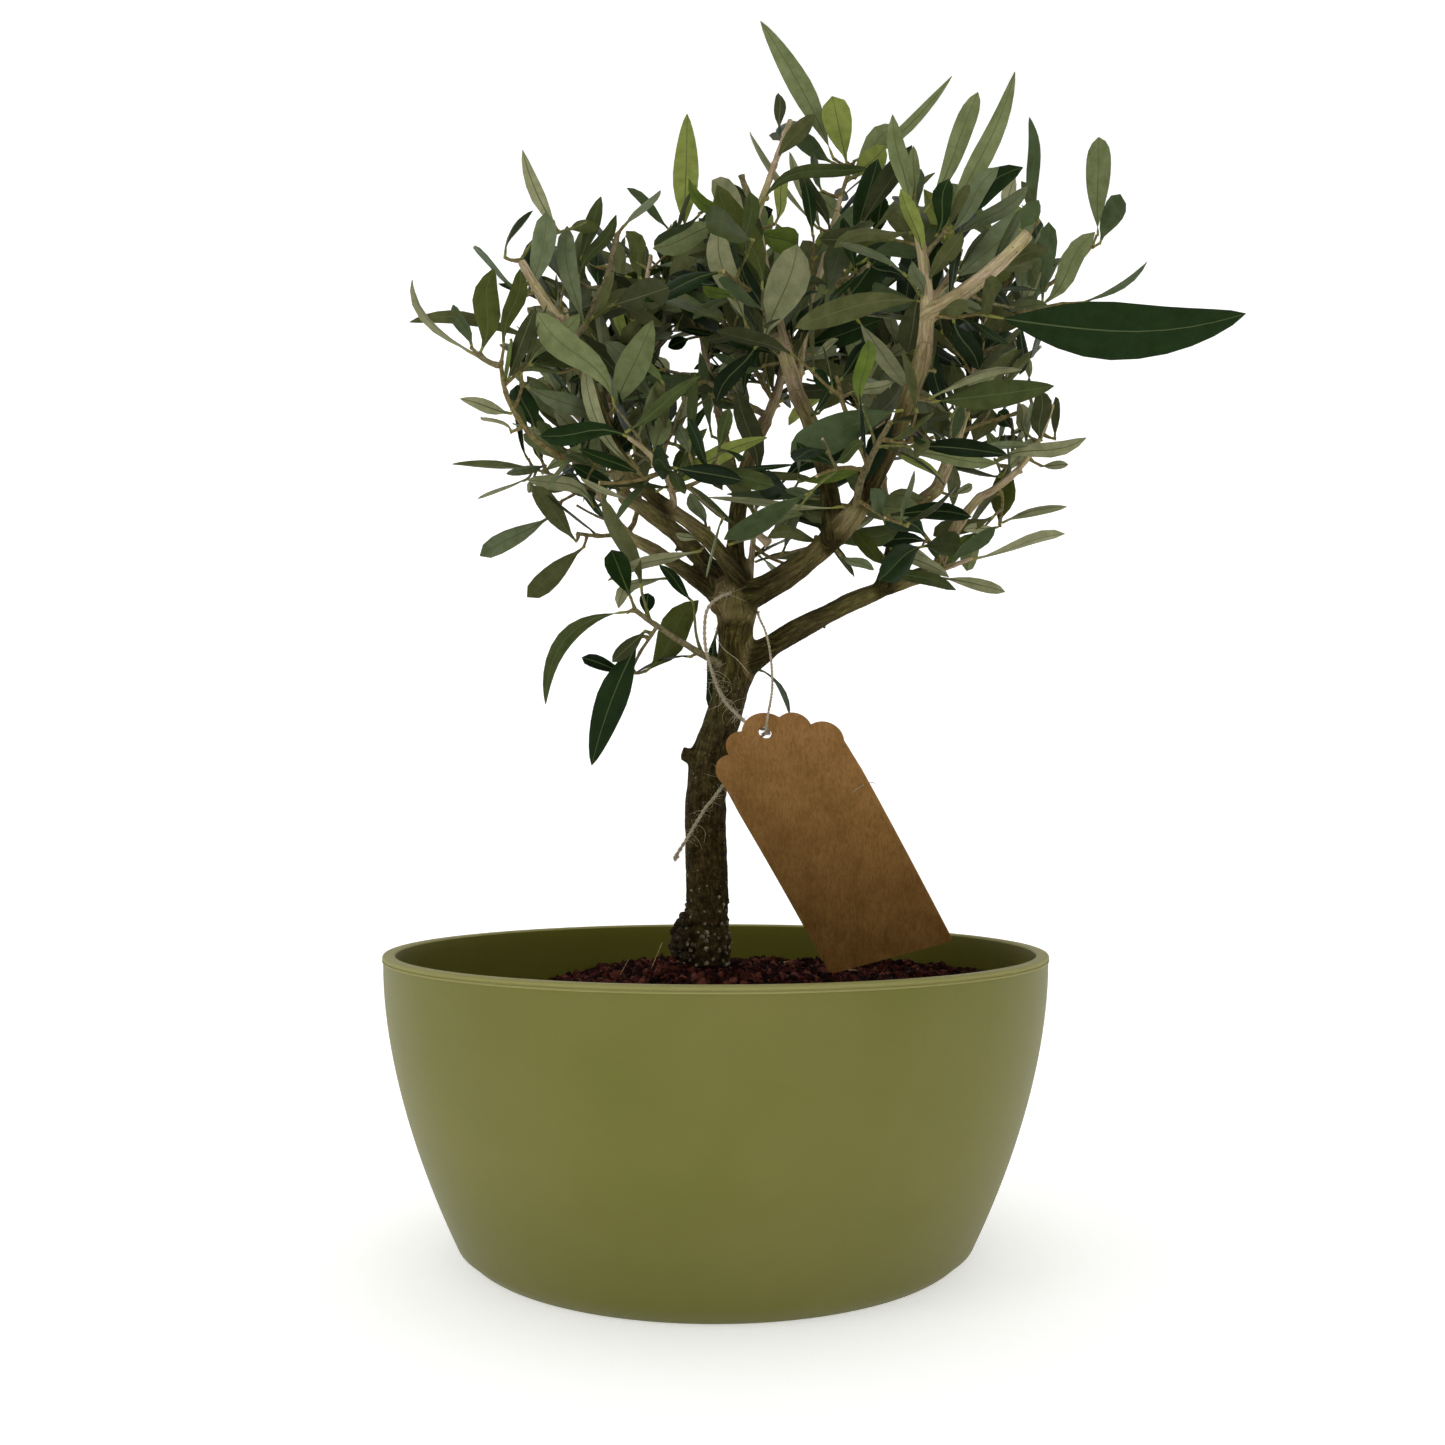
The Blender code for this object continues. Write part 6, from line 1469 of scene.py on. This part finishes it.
def buildBark(growth):
    plan = barkPlan
    lines = barkLines(growth)
    piece = newPiece("bark", barkBase(lines), [], sharp=80)
    mod = piece.modifiers.new("skin", "REMESH")
    mod.mode = "VOXEL"
    mod.voxel_size = plan["voxel"] * mm
    mod.use_smooth_shade = True
    soft = piece.modifiers.new("soften", "SMOOTH")
    soft.factor, soft.iterations = 0.5, plan["soften"]
    bakeModifiers(piece)
    mesh = piece.data
    count = len(mesh.vertices)
    points = np.empty(count * 3)
    mesh.vertices.foreach_get("co", points)
    points = points.reshape(-1, 3) / mm
    normals = np.array([v.normal for v in mesh.vertices])
    alongMm, aroundMm, age, which, cut = nearestLine(points, lines)
    ends = np.empty(len(mesh.edges) * 2, dtype=int)
    mesh.edges.foreach_get("vertices", ends)
    a, b = ends.reshape(-1, 2).T
    links = np.maximum(np.bincount(ends, minlength=count), 1)
    for _ in range(plan["ageBlur"]):  # so that no limb's colour ends in a hard edge
        age = (age + (np.bincount(a, age[b], count) + np.bincount(b, age[a], count)) / links) / 2
    burl = plan["burl"]
    nodule = np.exp(-(((points - np.array(burl["middle"])) / (np.array(burl["spread"]) * 1.1)) ** 2).sum(1) ** 2)
    push = np.zeros(count)
    for i in range(count):
        x, y, z = points[i]
        a = age[i]
        ridge = noise.noise(Vector((aroundMm[i] * 0.55, alongMm[i] * 0.085, which[i] * 5.3)))
        crease = 1 - abs(noise.noise(Vector((aroundMm[i] * 0.42, alongMm[i] * 0.07, which[i] * 3.1 + 40)))) * 4
        lump = noise.noise(Vector((x, y, z)) * 0.2)
        grit = noise.noise(Vector((x, y, z)) * 0.62)
        rough = plan["young"] + (1 - plan["young"]) * a
        d = plan["furrow"] * rough * ridge - plan["furrow"] * 0.5 * rough * max(0.0, crease)
        d += plan["lump"] * rough * lump + 0.16 * a * grit
        if which[i] == 0 and z < plan["footTop"]:  # knobbly foot
            cell = noise.voronoi(Vector((x, y, z)) * 0.36)[0][0]
            d += min(1.0, (plan["footTop"] - z) / 16) * (1.1 * (0.42 - cell))
        for at, radius, depth in plan["pits"]:
            gap = (Vector((x, y, z)) - Vector(at)).length
            if gap < radius * 3:
                d -= depth * math.exp(-(gap / radius) ** 2)
        push[i] = d
    points += normals * push[:, None]
    points[:, 2] = np.maximum(points[:, 2], trunkPlan["rows"][0][0])
    mesh.vertices.foreach_set("co", (points * mm).ravel())
    grain = mesh.attributes.new("grain", "FLOAT_VECTOR", "POINT")
    grain.data.foreach_set("vector", np.stack([aroundMm, alongMm, which * 11.0], 1).ravel())
    for name, values in (("age", age + 0.6 * nodule), ("cut", cut)):
        mesh.attributes.new(name, "FLOAT", "POINT").data.foreach_set("value", values)
    mesh.materials.append(barkFinish())
    mesh.update()
    mesh.shade_smooth()
    handOver(piece, "bark", "trunk", *limbs)
    return [(Vector(p), n) for p, n in zip(points, [v.normal.copy() for v in mesh.vertices])]


wartPlan = dict(
    low=103.0, high=142.0, seed=31, tries=5000,
    kinds=[  # name, how many, sizes, how far apart, how much they thin out upwards, colours
        ("knobBark", 34, (1.3, 2.4), 2.5, 0,
         [(0.34, (0.008, 0.005, 0.003)), (0.54, (0.030, 0.022, 0.011)), (0.74, (0.090, 0.072, 0.042))]),
        ("wartBark", 110, (0.45, 1.2), 1.7, 1,
         [(0.34, (0.030, 0.022, 0.011)), (0.48, (0.105, 0.086, 0.050)), (0.64, (0.300, 0.270, 0.190))]),
    ],
)


def buildWarts(skin, plan):  # small knobs that crowd the foot of the trunk and thin out above it
    rng = random.Random(plan["seed"])
    near = [(p, n) for p, n in skin if plan["low"] < p.z < plan["high"] and p.x < 12]
    side = [(p, n) for p, n in near if p.x < -11.5 and p.z < 123]
    placed, shapes, paints = [], [], []
    for slot, (name, count, sizes, apart, thin, stops) in enumerate(plan["kinds"]):
        spots, made = (near, side)[slot == 0], 0
        for _ in range(plan["tries"]):
            point, normal = spots[rng.randrange(len(spots))]
            share = (point.z - plan["low"]) / (plan["high"] - plan["low"])
            if rng.random() < share ** 0.7 * thin or any((point - q).length < apart for q in placed):
                continue
            placed.append(point)
            size, squash = rng.uniform(*sizes) * (1.1 - 0.5 * share), rng.uniform(0.6, 1.0)
            rise = [point + normal * size * v * squash for v in (-0.8, 0.0, 0.5, 0.9, 1.05)]
            rounds = [size * v for v in (0.8, 1.0, 0.86, 0.5, 0.2)]
            shapes.append(tube(rise, rounds, 8, slot, None, 0.14, rng.uniform(0, 6)))
            made += 1
            if made == count:
                break
        paints.append(grainy(name, stops[1][1], 0.85, (520, 4, 0.7), stops, (0.3, 0.9)))
    handOver(newPiece("footWarts", join(shapes), paints, sharp=80), "bark")


# tag: a bare kraft card with a scalloped head, its foot on the soil

tagPlan = dict(
    wide=54.0, thick=0.8, hole=(0.0, 105.2, 2.6), foot=(68.2, 8.0, 105.2), lean=(122.0, -16.5, -30.1),
    lobes=[(19.6, 94.6, 7.4), (11.0, 102.5, 6.8), (0.0, 103.5, 9.7)], corner=1.6, cell=3.2, bend=1.1,
)


def tagMatrix(plan):
    tilt, lean, turn = plan["lean"]
    spin = Matrix.Rotation(rad(turn), 4, "Z") @ Matrix.Rotation(rad(lean), 4, "Y")
    return Matrix.Translation(plan["foot"]) @ spin @ Matrix.Rotation(rad(tilt), 4, "X")


def tagOutline(plan):
    half, corner = plan["wide"] / 2, plan["corner"]
    outline = []
    for side in (-1, 1):
        for k in range(5):
            a = rad(90 * k / 4 if side < 0 else 90 - 90 * k / 4)
            outline.append((side * (half - corner + corner * math.cos(a)), corner - corner * math.sin(a)))
    outline += [(half, y) for y in range(6, 84, 6)]
    middle = plan["lobes"][0][1] - 3
    for k in range(97):
        a = rad(180 * k / 96)
        far = 0
        for cx, cy, r in plan["lobes"]:
            for flip in (cx, -cx):
                across = math.cos(a) * flip + math.sin(a) * (cy - middle)
                off = flip ** 2 + (cy - middle) ** 2 - across ** 2
                if off < r * r:
                    far = max(far, across + math.sqrt(r * r - off))
        outline.append((far * math.cos(a), middle + far * math.sin(a)))
    return outline + [(-half, y) for y in range(78, 0, -6)]


def within(p, loop):
    odd = False
    for (x0, y0), (x1, y1) in zip(loop, loop[1:] + loop[:1]):
        if (y0 > p[1]) != (y1 > p[1]) and p[0] < (x1 - x0) * (p[1] - y0) / (y1 - y0) + x0:
            odd = not odd
    return odd


def cardShape(plan):
    outline, cell = tagOutline(plan), plan["cell"]
    hx, hy, hr = plan["hole"]
    ring = [(hx + hr * math.cos(rad(15 * k)), hy + hr * math.sin(rad(15 * k))) for k in range(24)]
    points = outline + ring
    for row in range(int(112 / cell) + 1):
        for col in range(-int(27 / cell), int(27 / cell) + 1):
            p = ((col + 0.5 * (row % 2)) * cell, (row + 0.5) * cell)
            near = min(math.hypot(p[0] - x, p[1] - y) for x, y in outline + ring)
            if within(p, outline) and not within(p, ring) and near > cell * 0.6:
                points.append(p)
    n, m = len(outline), len(ring)
    edges = [(k, (k + 1) % n) for k in range(n)] + [(n + k, n + (k + 1) % m) for k in range(m)]
    flat, _, triangles, *_ = geometry.delaunay_2d_cdt([Vector(p) for p in points], edges, [], 0, 1e-5)
    middles = [sum((flat[i] for i in t), Vector((0, 0))) / 3 for t in triangles]
    triangles = [t for t, p in zip(triangles, middles) if within(p, outline) and not within(p, ring)]
    count, place, thick = len(flat), tagMatrix(plan), plan["thick"]

    def lifted(x, y, z):  # the card sags a little between its foot and the twine
        v = y / 108
        curl = plan["bend"] * (math.sin(math.pi * v) - 0.25 * (x / 27) ** 2 * (1 - v))
        return place @ Vector((x, y, z - curl))

    verts = [lifted(p.x, p.y, z) for z in (thick, 0) for p in flat]
    faces = [tuple(t) for t in triangles] + [tuple(i + count for i in reversed(t)) for t in triangles]
    for loop, out, centre in ((range(n), 0.14, Vector((0, 55))), (range(n, n + m), -0.1, Vector((hx, hy)))):
        base = len(verts)
        for i in loop:
            p = flat[i] + (flat[i] - centre).normalized() * out
            verts.append(lifted(p.x, p.y, thick / 2))
        for k, i in enumerate(loop):
            q = (k + 1) % len(loop)
            faces += [(i, loop[q], base + q, base + k), (base + k, base + q, loop[q] + count, i + count)]
    return verts, faces, [0] * len(faces)


def kraftFinish():
    mat = newMaterial("kraftCard", (0.138, 0.070, 0.020), 0.86)
    net = mat.node_tree
    place = objectSpace(net)
    mottle = noiseFac(net, place, 60, 5, 0.6)
    fibre = noiseFac(net, stretched(net, place, (900, 240, 260)), 1.0, 4, 0.65, 1.2)
    speck = noiseFac(net, place, 1500, 2)
    pulp = noiseFac(net, place, 620, 3, 0.6)
    colour = rampOf(net, mottle, [(0.3, (0.234, 0.119, 0.038)), (0.7, (0.335, 0.180, 0.066))])
    colour = tinted(net, colour, rampOf(net, fibre, [(0.32, (0.66, 0.62, 0.54)), (0.60, (1.16, 1.16, 1.14))]), 0.7)
    colour = tinted(net, colour, rampOf(net, speck, [(0.66, 1), (0.74, (0.62, 0.55, 0.45))]), 0.8)
    height = mathOf(net, "MULTIPLY", heightIn(net, place), 5.0)
    shade = rampOf(net, height, [(0.56, (0.76, 0.74, 0.56)), (0.80, (0.96, 0.96, 0.88)), (1.0, 1)])
    wire(mat, "Base Color", tinted(net, colour, shade))
    setBump(mat, sumOf(net, (speck, 0.4), (fibre, 1.0), (pulp, 1.0)), 0.32, 0.9)
    return mat


def buildTag(plan):
    handOver(newPiece("kraftTag", cardShape(plan), [kraftFinish()], sharp=50), "card", "tag")


# twine: two-ply jute, looped round the trunk under the fork, with the tag on its end

twinePlan = dict(
    thick=[
        [(6.0, -7.6, 246.0), (4.8, -11.2, 245.1), (2.0, -12.9, 243.9), (-1.2, -12.9, 241.7), (-3.4, -11.8, 238.8),
         (-4.2, -11.2, 235.1),
         (-4.4, -11.3, 229.5), (-4.0, -11.6, 224.6), (-2.9, -12.0, 219.5), (-1.4, -12.5, 214.5), (0.8, -13.4, 208.4),
         (3.8, -15.6, 202.7), (7.4, -19.0, 198.7), (10.7, -21.8, 195.2), (15.4, -23.4, 192.8), (19.6, -24.8, 191.9)],
        [(19.6, -24.8, 191.9), (13, -18.5, 185.5), (7, -11.5, 178), (2.2, -7.3, 171), (-1.5, -9.0, 166),
         (-4.6, -10.1, 162), (-10, -11, 153), (-15, -11.5, 145)],
    ],
    thin=[
        [(4.5, 9.4, 246.5), (8.5, 12.2, 244.0), (13.6, 11.0, 241.8), (16.6, 5.6, 240.6), (16.4, -1.5, 239.4),
         (16.4, -7.6, 237.4), (17.2, -10.6, 234.6),
         (18.6, -12.0, 231.3), (20.0, -14.0, 226.0), (20.8, -16.0, 220.2), (21.2, -19.0, 213.8), (21.1, -22.5, 207.3),
         (20.2, -27, 201.5), (19.4, -33.8, 198.2), (18.2, -31.4, 190.6), (18.7, -27.4, 190.4), (19.6, -24.6, 191.9)],
    ],
    ply=0.40, helix=0.34, pitch=4.2, thinShare=0.72, step=0.55, seed=8, loose=0.13,
    fuzz=0.040, fuzzWide=14, fuzzSize=(0.7, 3.6), fuzzDensity=0.85e6,
    wisps=[(0, 0.55, 0.97, 58), (1, 0.35, 0.98, 12), (0, 0.02, 0.1, 5)],  # strand, from, to, how many
    wispLong=(3.0, 10.5), wispRadius=0.085,
    knots=[((19.6, -24.8, 191.9), 1.7, 3), ((-15.2, -11.6, 144.4), 1.1, 2)],  # place, reach, turns
    threads=[  # loose fibres that stand off the twine, and the end that shows behind the card
        [(50, -28.6, 168.5), (54.5, -28.4, 171.3), (57.4, -28.4, 172.2), (58.6, -28.8, 171.7)],
        [(-0.6, -11.4, 232), (0.4, -11.2, 228), (3.2, -12, 223.4), (8, -12.6, 219.6), (12.6, -13.0, 214.2)],
        [(2, -12, 208), (4, -15, 203), (8, -15, 199), (6, -14, 195)],
    ],
)


def wispPaths(plan):  # long fibres that have come loose from the thick side
    rng = random.Random(plan["seed"])
    made = []
    for strand, first, last, count in plan["wisps"]:
        path = smoothPath(plan["thick"][strand], 5)
        for _ in range(count):
            start = along(path, rng.uniform(first, last))[0]
            length = rng.uniform(*plan["wispLong"])
            azimuth, rise = rng.uniform(160, 380), rng.uniform(-50, 40)
            turn, lift = rng.uniform(-190, 190), rng.uniform(-80, 30)
            made.append(arc(start, azimuth, rise, length, turn, lift, 10))
    return made


def knotPath(place, reach, turns):
    path = []
    for k in range(turns * 12 + 1):
        a = 2 * math.pi * k / 12
        way = (math.cos(a) * math.cos(a * 0.37), math.sin(a) * 0.8, math.cos(a) * math.sin(a * 0.37))
        path.append(Vector(place) + Vector(way) * reach * (0.65 + 0.25 * math.sin(a * 0.6)))
    return path


def plyTree():
    inputs = [(label, "Float") for label in ("Ply Radius", "Helix Radius", "Pitch", "Step")]
    inputs.append(("Finish", "Material"))
    net, given = newTree("twistedPly", inputs)
    line = addNode(net, "GeometryNodeMeshToCurve", {"Mesh": given["Geometry"]})
    sockets = {"Curve": line.outputs[0], "Length": given["Step"]}
    fine = addNode(net, "GeometryNodeResampleCurve", sockets, mode="LENGTH")
    tangent = net.nodes.new("GeometryNodeInputTangent").outputs[0]
    normal = net.nodes.new("GeometryNodeInputNormal").outputs[0]
    run = net.nodes.new("GeometryNodeSplineParameter").outputs["Length"]
    turns = mathOf(net, "DIVIDE", run, given["Pitch"])
    profile = addNode(net, "GeometryNodeCurvePrimitiveCircle", {"Resolution": 6, "Radius": given["Ply Radius"]})
    plies = net.nodes.new("GeometryNodeJoinGeometry")
    for phase in (0.0, math.pi):
        angle = mathOf(net, "MULTIPLY_ADD", turns, 2 * math.pi, phase)
        sockets = {"Vector": normal, "Axis": tangent, "Angle": angle}
        out = addNode(net, "ShaderNodeVectorRotate", sockets, rotation_type="AXIS_ANGLE").outputs[0]
        offset = scaledBy(net, out, given["Helix Radius"])
        wound = addNode(net, "GeometryNodeSetPosition", {"Geometry": fine.outputs[0], "Offset": offset})
        net.links.new(swept(net, wound, profile), plies.inputs[0])
    return endTree(net, plies.outputs[0], given["Finish"])


def fuzzTree():
    inputs = [
        ("Density", "Float"), ("Thickness", "Float"), ("Width", "Float"), ("Shortest", "Float"),
        ("Longest", "Float"), ("Seed", "Int"), ("Finish", "Material"),
    ]
    net, given = newTree("twineFuzz", inputs)
    spread = dealtOut(net, given)
    sockets = {"Resolution": 4, "Start": (0, 0, 0), "Middle": (0.1, 0, 0.5), "End": (0.62, 0, 0.72)}
    bow = addNode(net, "GeometryNodeCurveQuadraticBezier", sockets)
    thin = addNode(net, "GeometryNodeCurvePrimitiveCircle", {"Resolution": 3, "Radius": given["Thickness"]})
    sockets = {0: spread["Rotation"], 1: anyTurn(net, (-0.9, -0.9, 0), (0.9, 0.9, 6.28))}
    facing = addNode(net, "FunctionNodeRotateRotation", sockets, rotation_space="LOCAL")
    size = chance(net, "FLOAT", given["Shortest"], given["Longest"])
    stretch = addNode(net, "ShaderNodeCombineXYZ", {"X": size, "Y": given["Width"], "Z": size})
    hairs = addNode(net, "GeometryNodeInstanceOnPoints", {
        "Points": spread["Points"], "Instance": swept(net, bow, thin), "Rotation": facing.outputs[0],
        "Scale": stretch.outputs[0],
    })
    return endTree(net, hairs.outputs[0], given["Finish"])


def juteFinish(name, colour, dark):
    return grainy(name, colour, 0.9, (900, 4, 0.7), [(0.35, dark), (0.65, colour)], (0.2, 0.9), Sheen_Weight=0.15)


def twineLine(name, paths, plan, share, finish):
    verts, edges = [], []
    for path in paths:
        base = len(verts)
        verts += [tuple(p * mm) for p in path]
        edges += [(base + k, base + k + 1) for k in range(len(path) - 1)]
    mesh = bpy.data.meshes.new(name)
    mesh.from_pydata(verts, edges, [])
    line = linked(name, mesh)
    sizes = {"Ply Radius": plan["ply"], "Helix Radius": plan["helix"], "Pitch": plan["pitch"]}
    sizes = {label: size * share * mm for label, size in sizes.items()}
    grown(line, plyTree(), {**sizes, "Step": plan["step"] * mm, "Finish": finish})
    return line


def buildTwine(plan):
    jute = juteFinish("jute", (0.43, 0.37, 0.255), (0.22, 0.18, 0.11))
    thick = [smoothPath(s, 5) for s in plan["thick"]] + [smoothPath(knotPath(*knot), 2) for knot in plan["knots"]]
    twine = twineLine("juteTwine", thick, plan, 1.0, jute)
    handOver(twine, "twine", "twine")
    thin = [smoothPath(s, 5) for s in plan["thin"]]
    handOver(twineLine("thinTwine", thin, plan, plan["thinShare"], jute), "twine")
    fuzz = linked("twineFuzz", twine.data.copy())
    short, long = plan["fuzzSize"]
    grown(fuzz, fuzzTree(), {
        "Density": plan["fuzzDensity"], "Thickness": plan["fuzz"] / plan["fuzzWide"],
        "Width": plan["fuzzWide"] * mm, "Shortest": short * mm, "Longest": long * mm, "Seed": plan["seed"],
        "Finish": juteFinish("juteFibre", (0.50, 0.44, 0.32), (0.31, 0.26, 0.17)),
    })
    handOver(fuzz, "twine")
    threads = [smoothPath(thread, 6) for thread in plan["threads"]]
    loose = [tube(path, [plan["loose"]] * len(path), 5) for path in threads]
    for path in wispPaths(plan):
        loose.append(tube(path, taper(plan["wispRadius"], plan["wispRadius"] * 0.5, len(path)), 4))
    handOver(newPiece("looseThreads", join(loose), [jute]), "twine")


# litter: two dry straws that stand in the granules and a few that lie there

straws = [  # foot, azimuth, rise, length, radius
    ((-25.2, 10), 10, 68, 10.5, 0.24), ((-38.0, 15), 20, 60, 7.0, 0.2), ((28, 88), 14, 8, 4.5, 0.5),
    ((30, -90), 12, 4, 11, 0.35), ((-52, 66), 40, 3, 8, 0.3), ((60, 60), 130, 3, 8, 0.3),
]


def buildLitter():
    mat = newMaterial("dryStraw", (0.42, 0.30, 0.14), 0.7)
    net = mat.node_tree
    streak = noiseFac(net, stretched(net, objectSpace(net), (500, 500, 900)), 1.0, 3)
    wire(mat, "Base Color", rampOf(net, streak, [(0.35, (0.24, 0.15, 0.06)), (0.65, (0.50, 0.38, 0.20))]))
    shapes = []
    for (x, y), azimuth, rise, length, r in straws:
        path = arc((x, y, soilTop(x, y) + 0.8), azimuth, rise, length, 20, -4, 6)
        shapes.append(tube(path, taper(r, r * 0.6, 7), 6))
    handOver(newPiece("litter", join(shapes), [mat]), "bark")


def growTree():
    paths = limbPaths()
    solids = [trunkShape(), cardShape(tagPlan)] + [tube(path, radii, 10) for path, radii in paths.values()]
    solids += [tube(path, [0.9] * len(path), 6) for path in twinePlan["thick"] + twinePlan["thin"]]
    growth = Growth(paths, solids)
    growth.grow()
    return growth


buildCamera(cameraPlan)
buildStudio(studioPlan)
buildPot(potPlan)
buildSoil(soilPlan)
growth = growTree()
buildLeaves(growth)
buildTwigs(growth, twigPlan)
buildWarts(buildBark(growth), wartPlan)
buildTag(tagPlan)
buildTwine(twinePlan)
buildLitter()
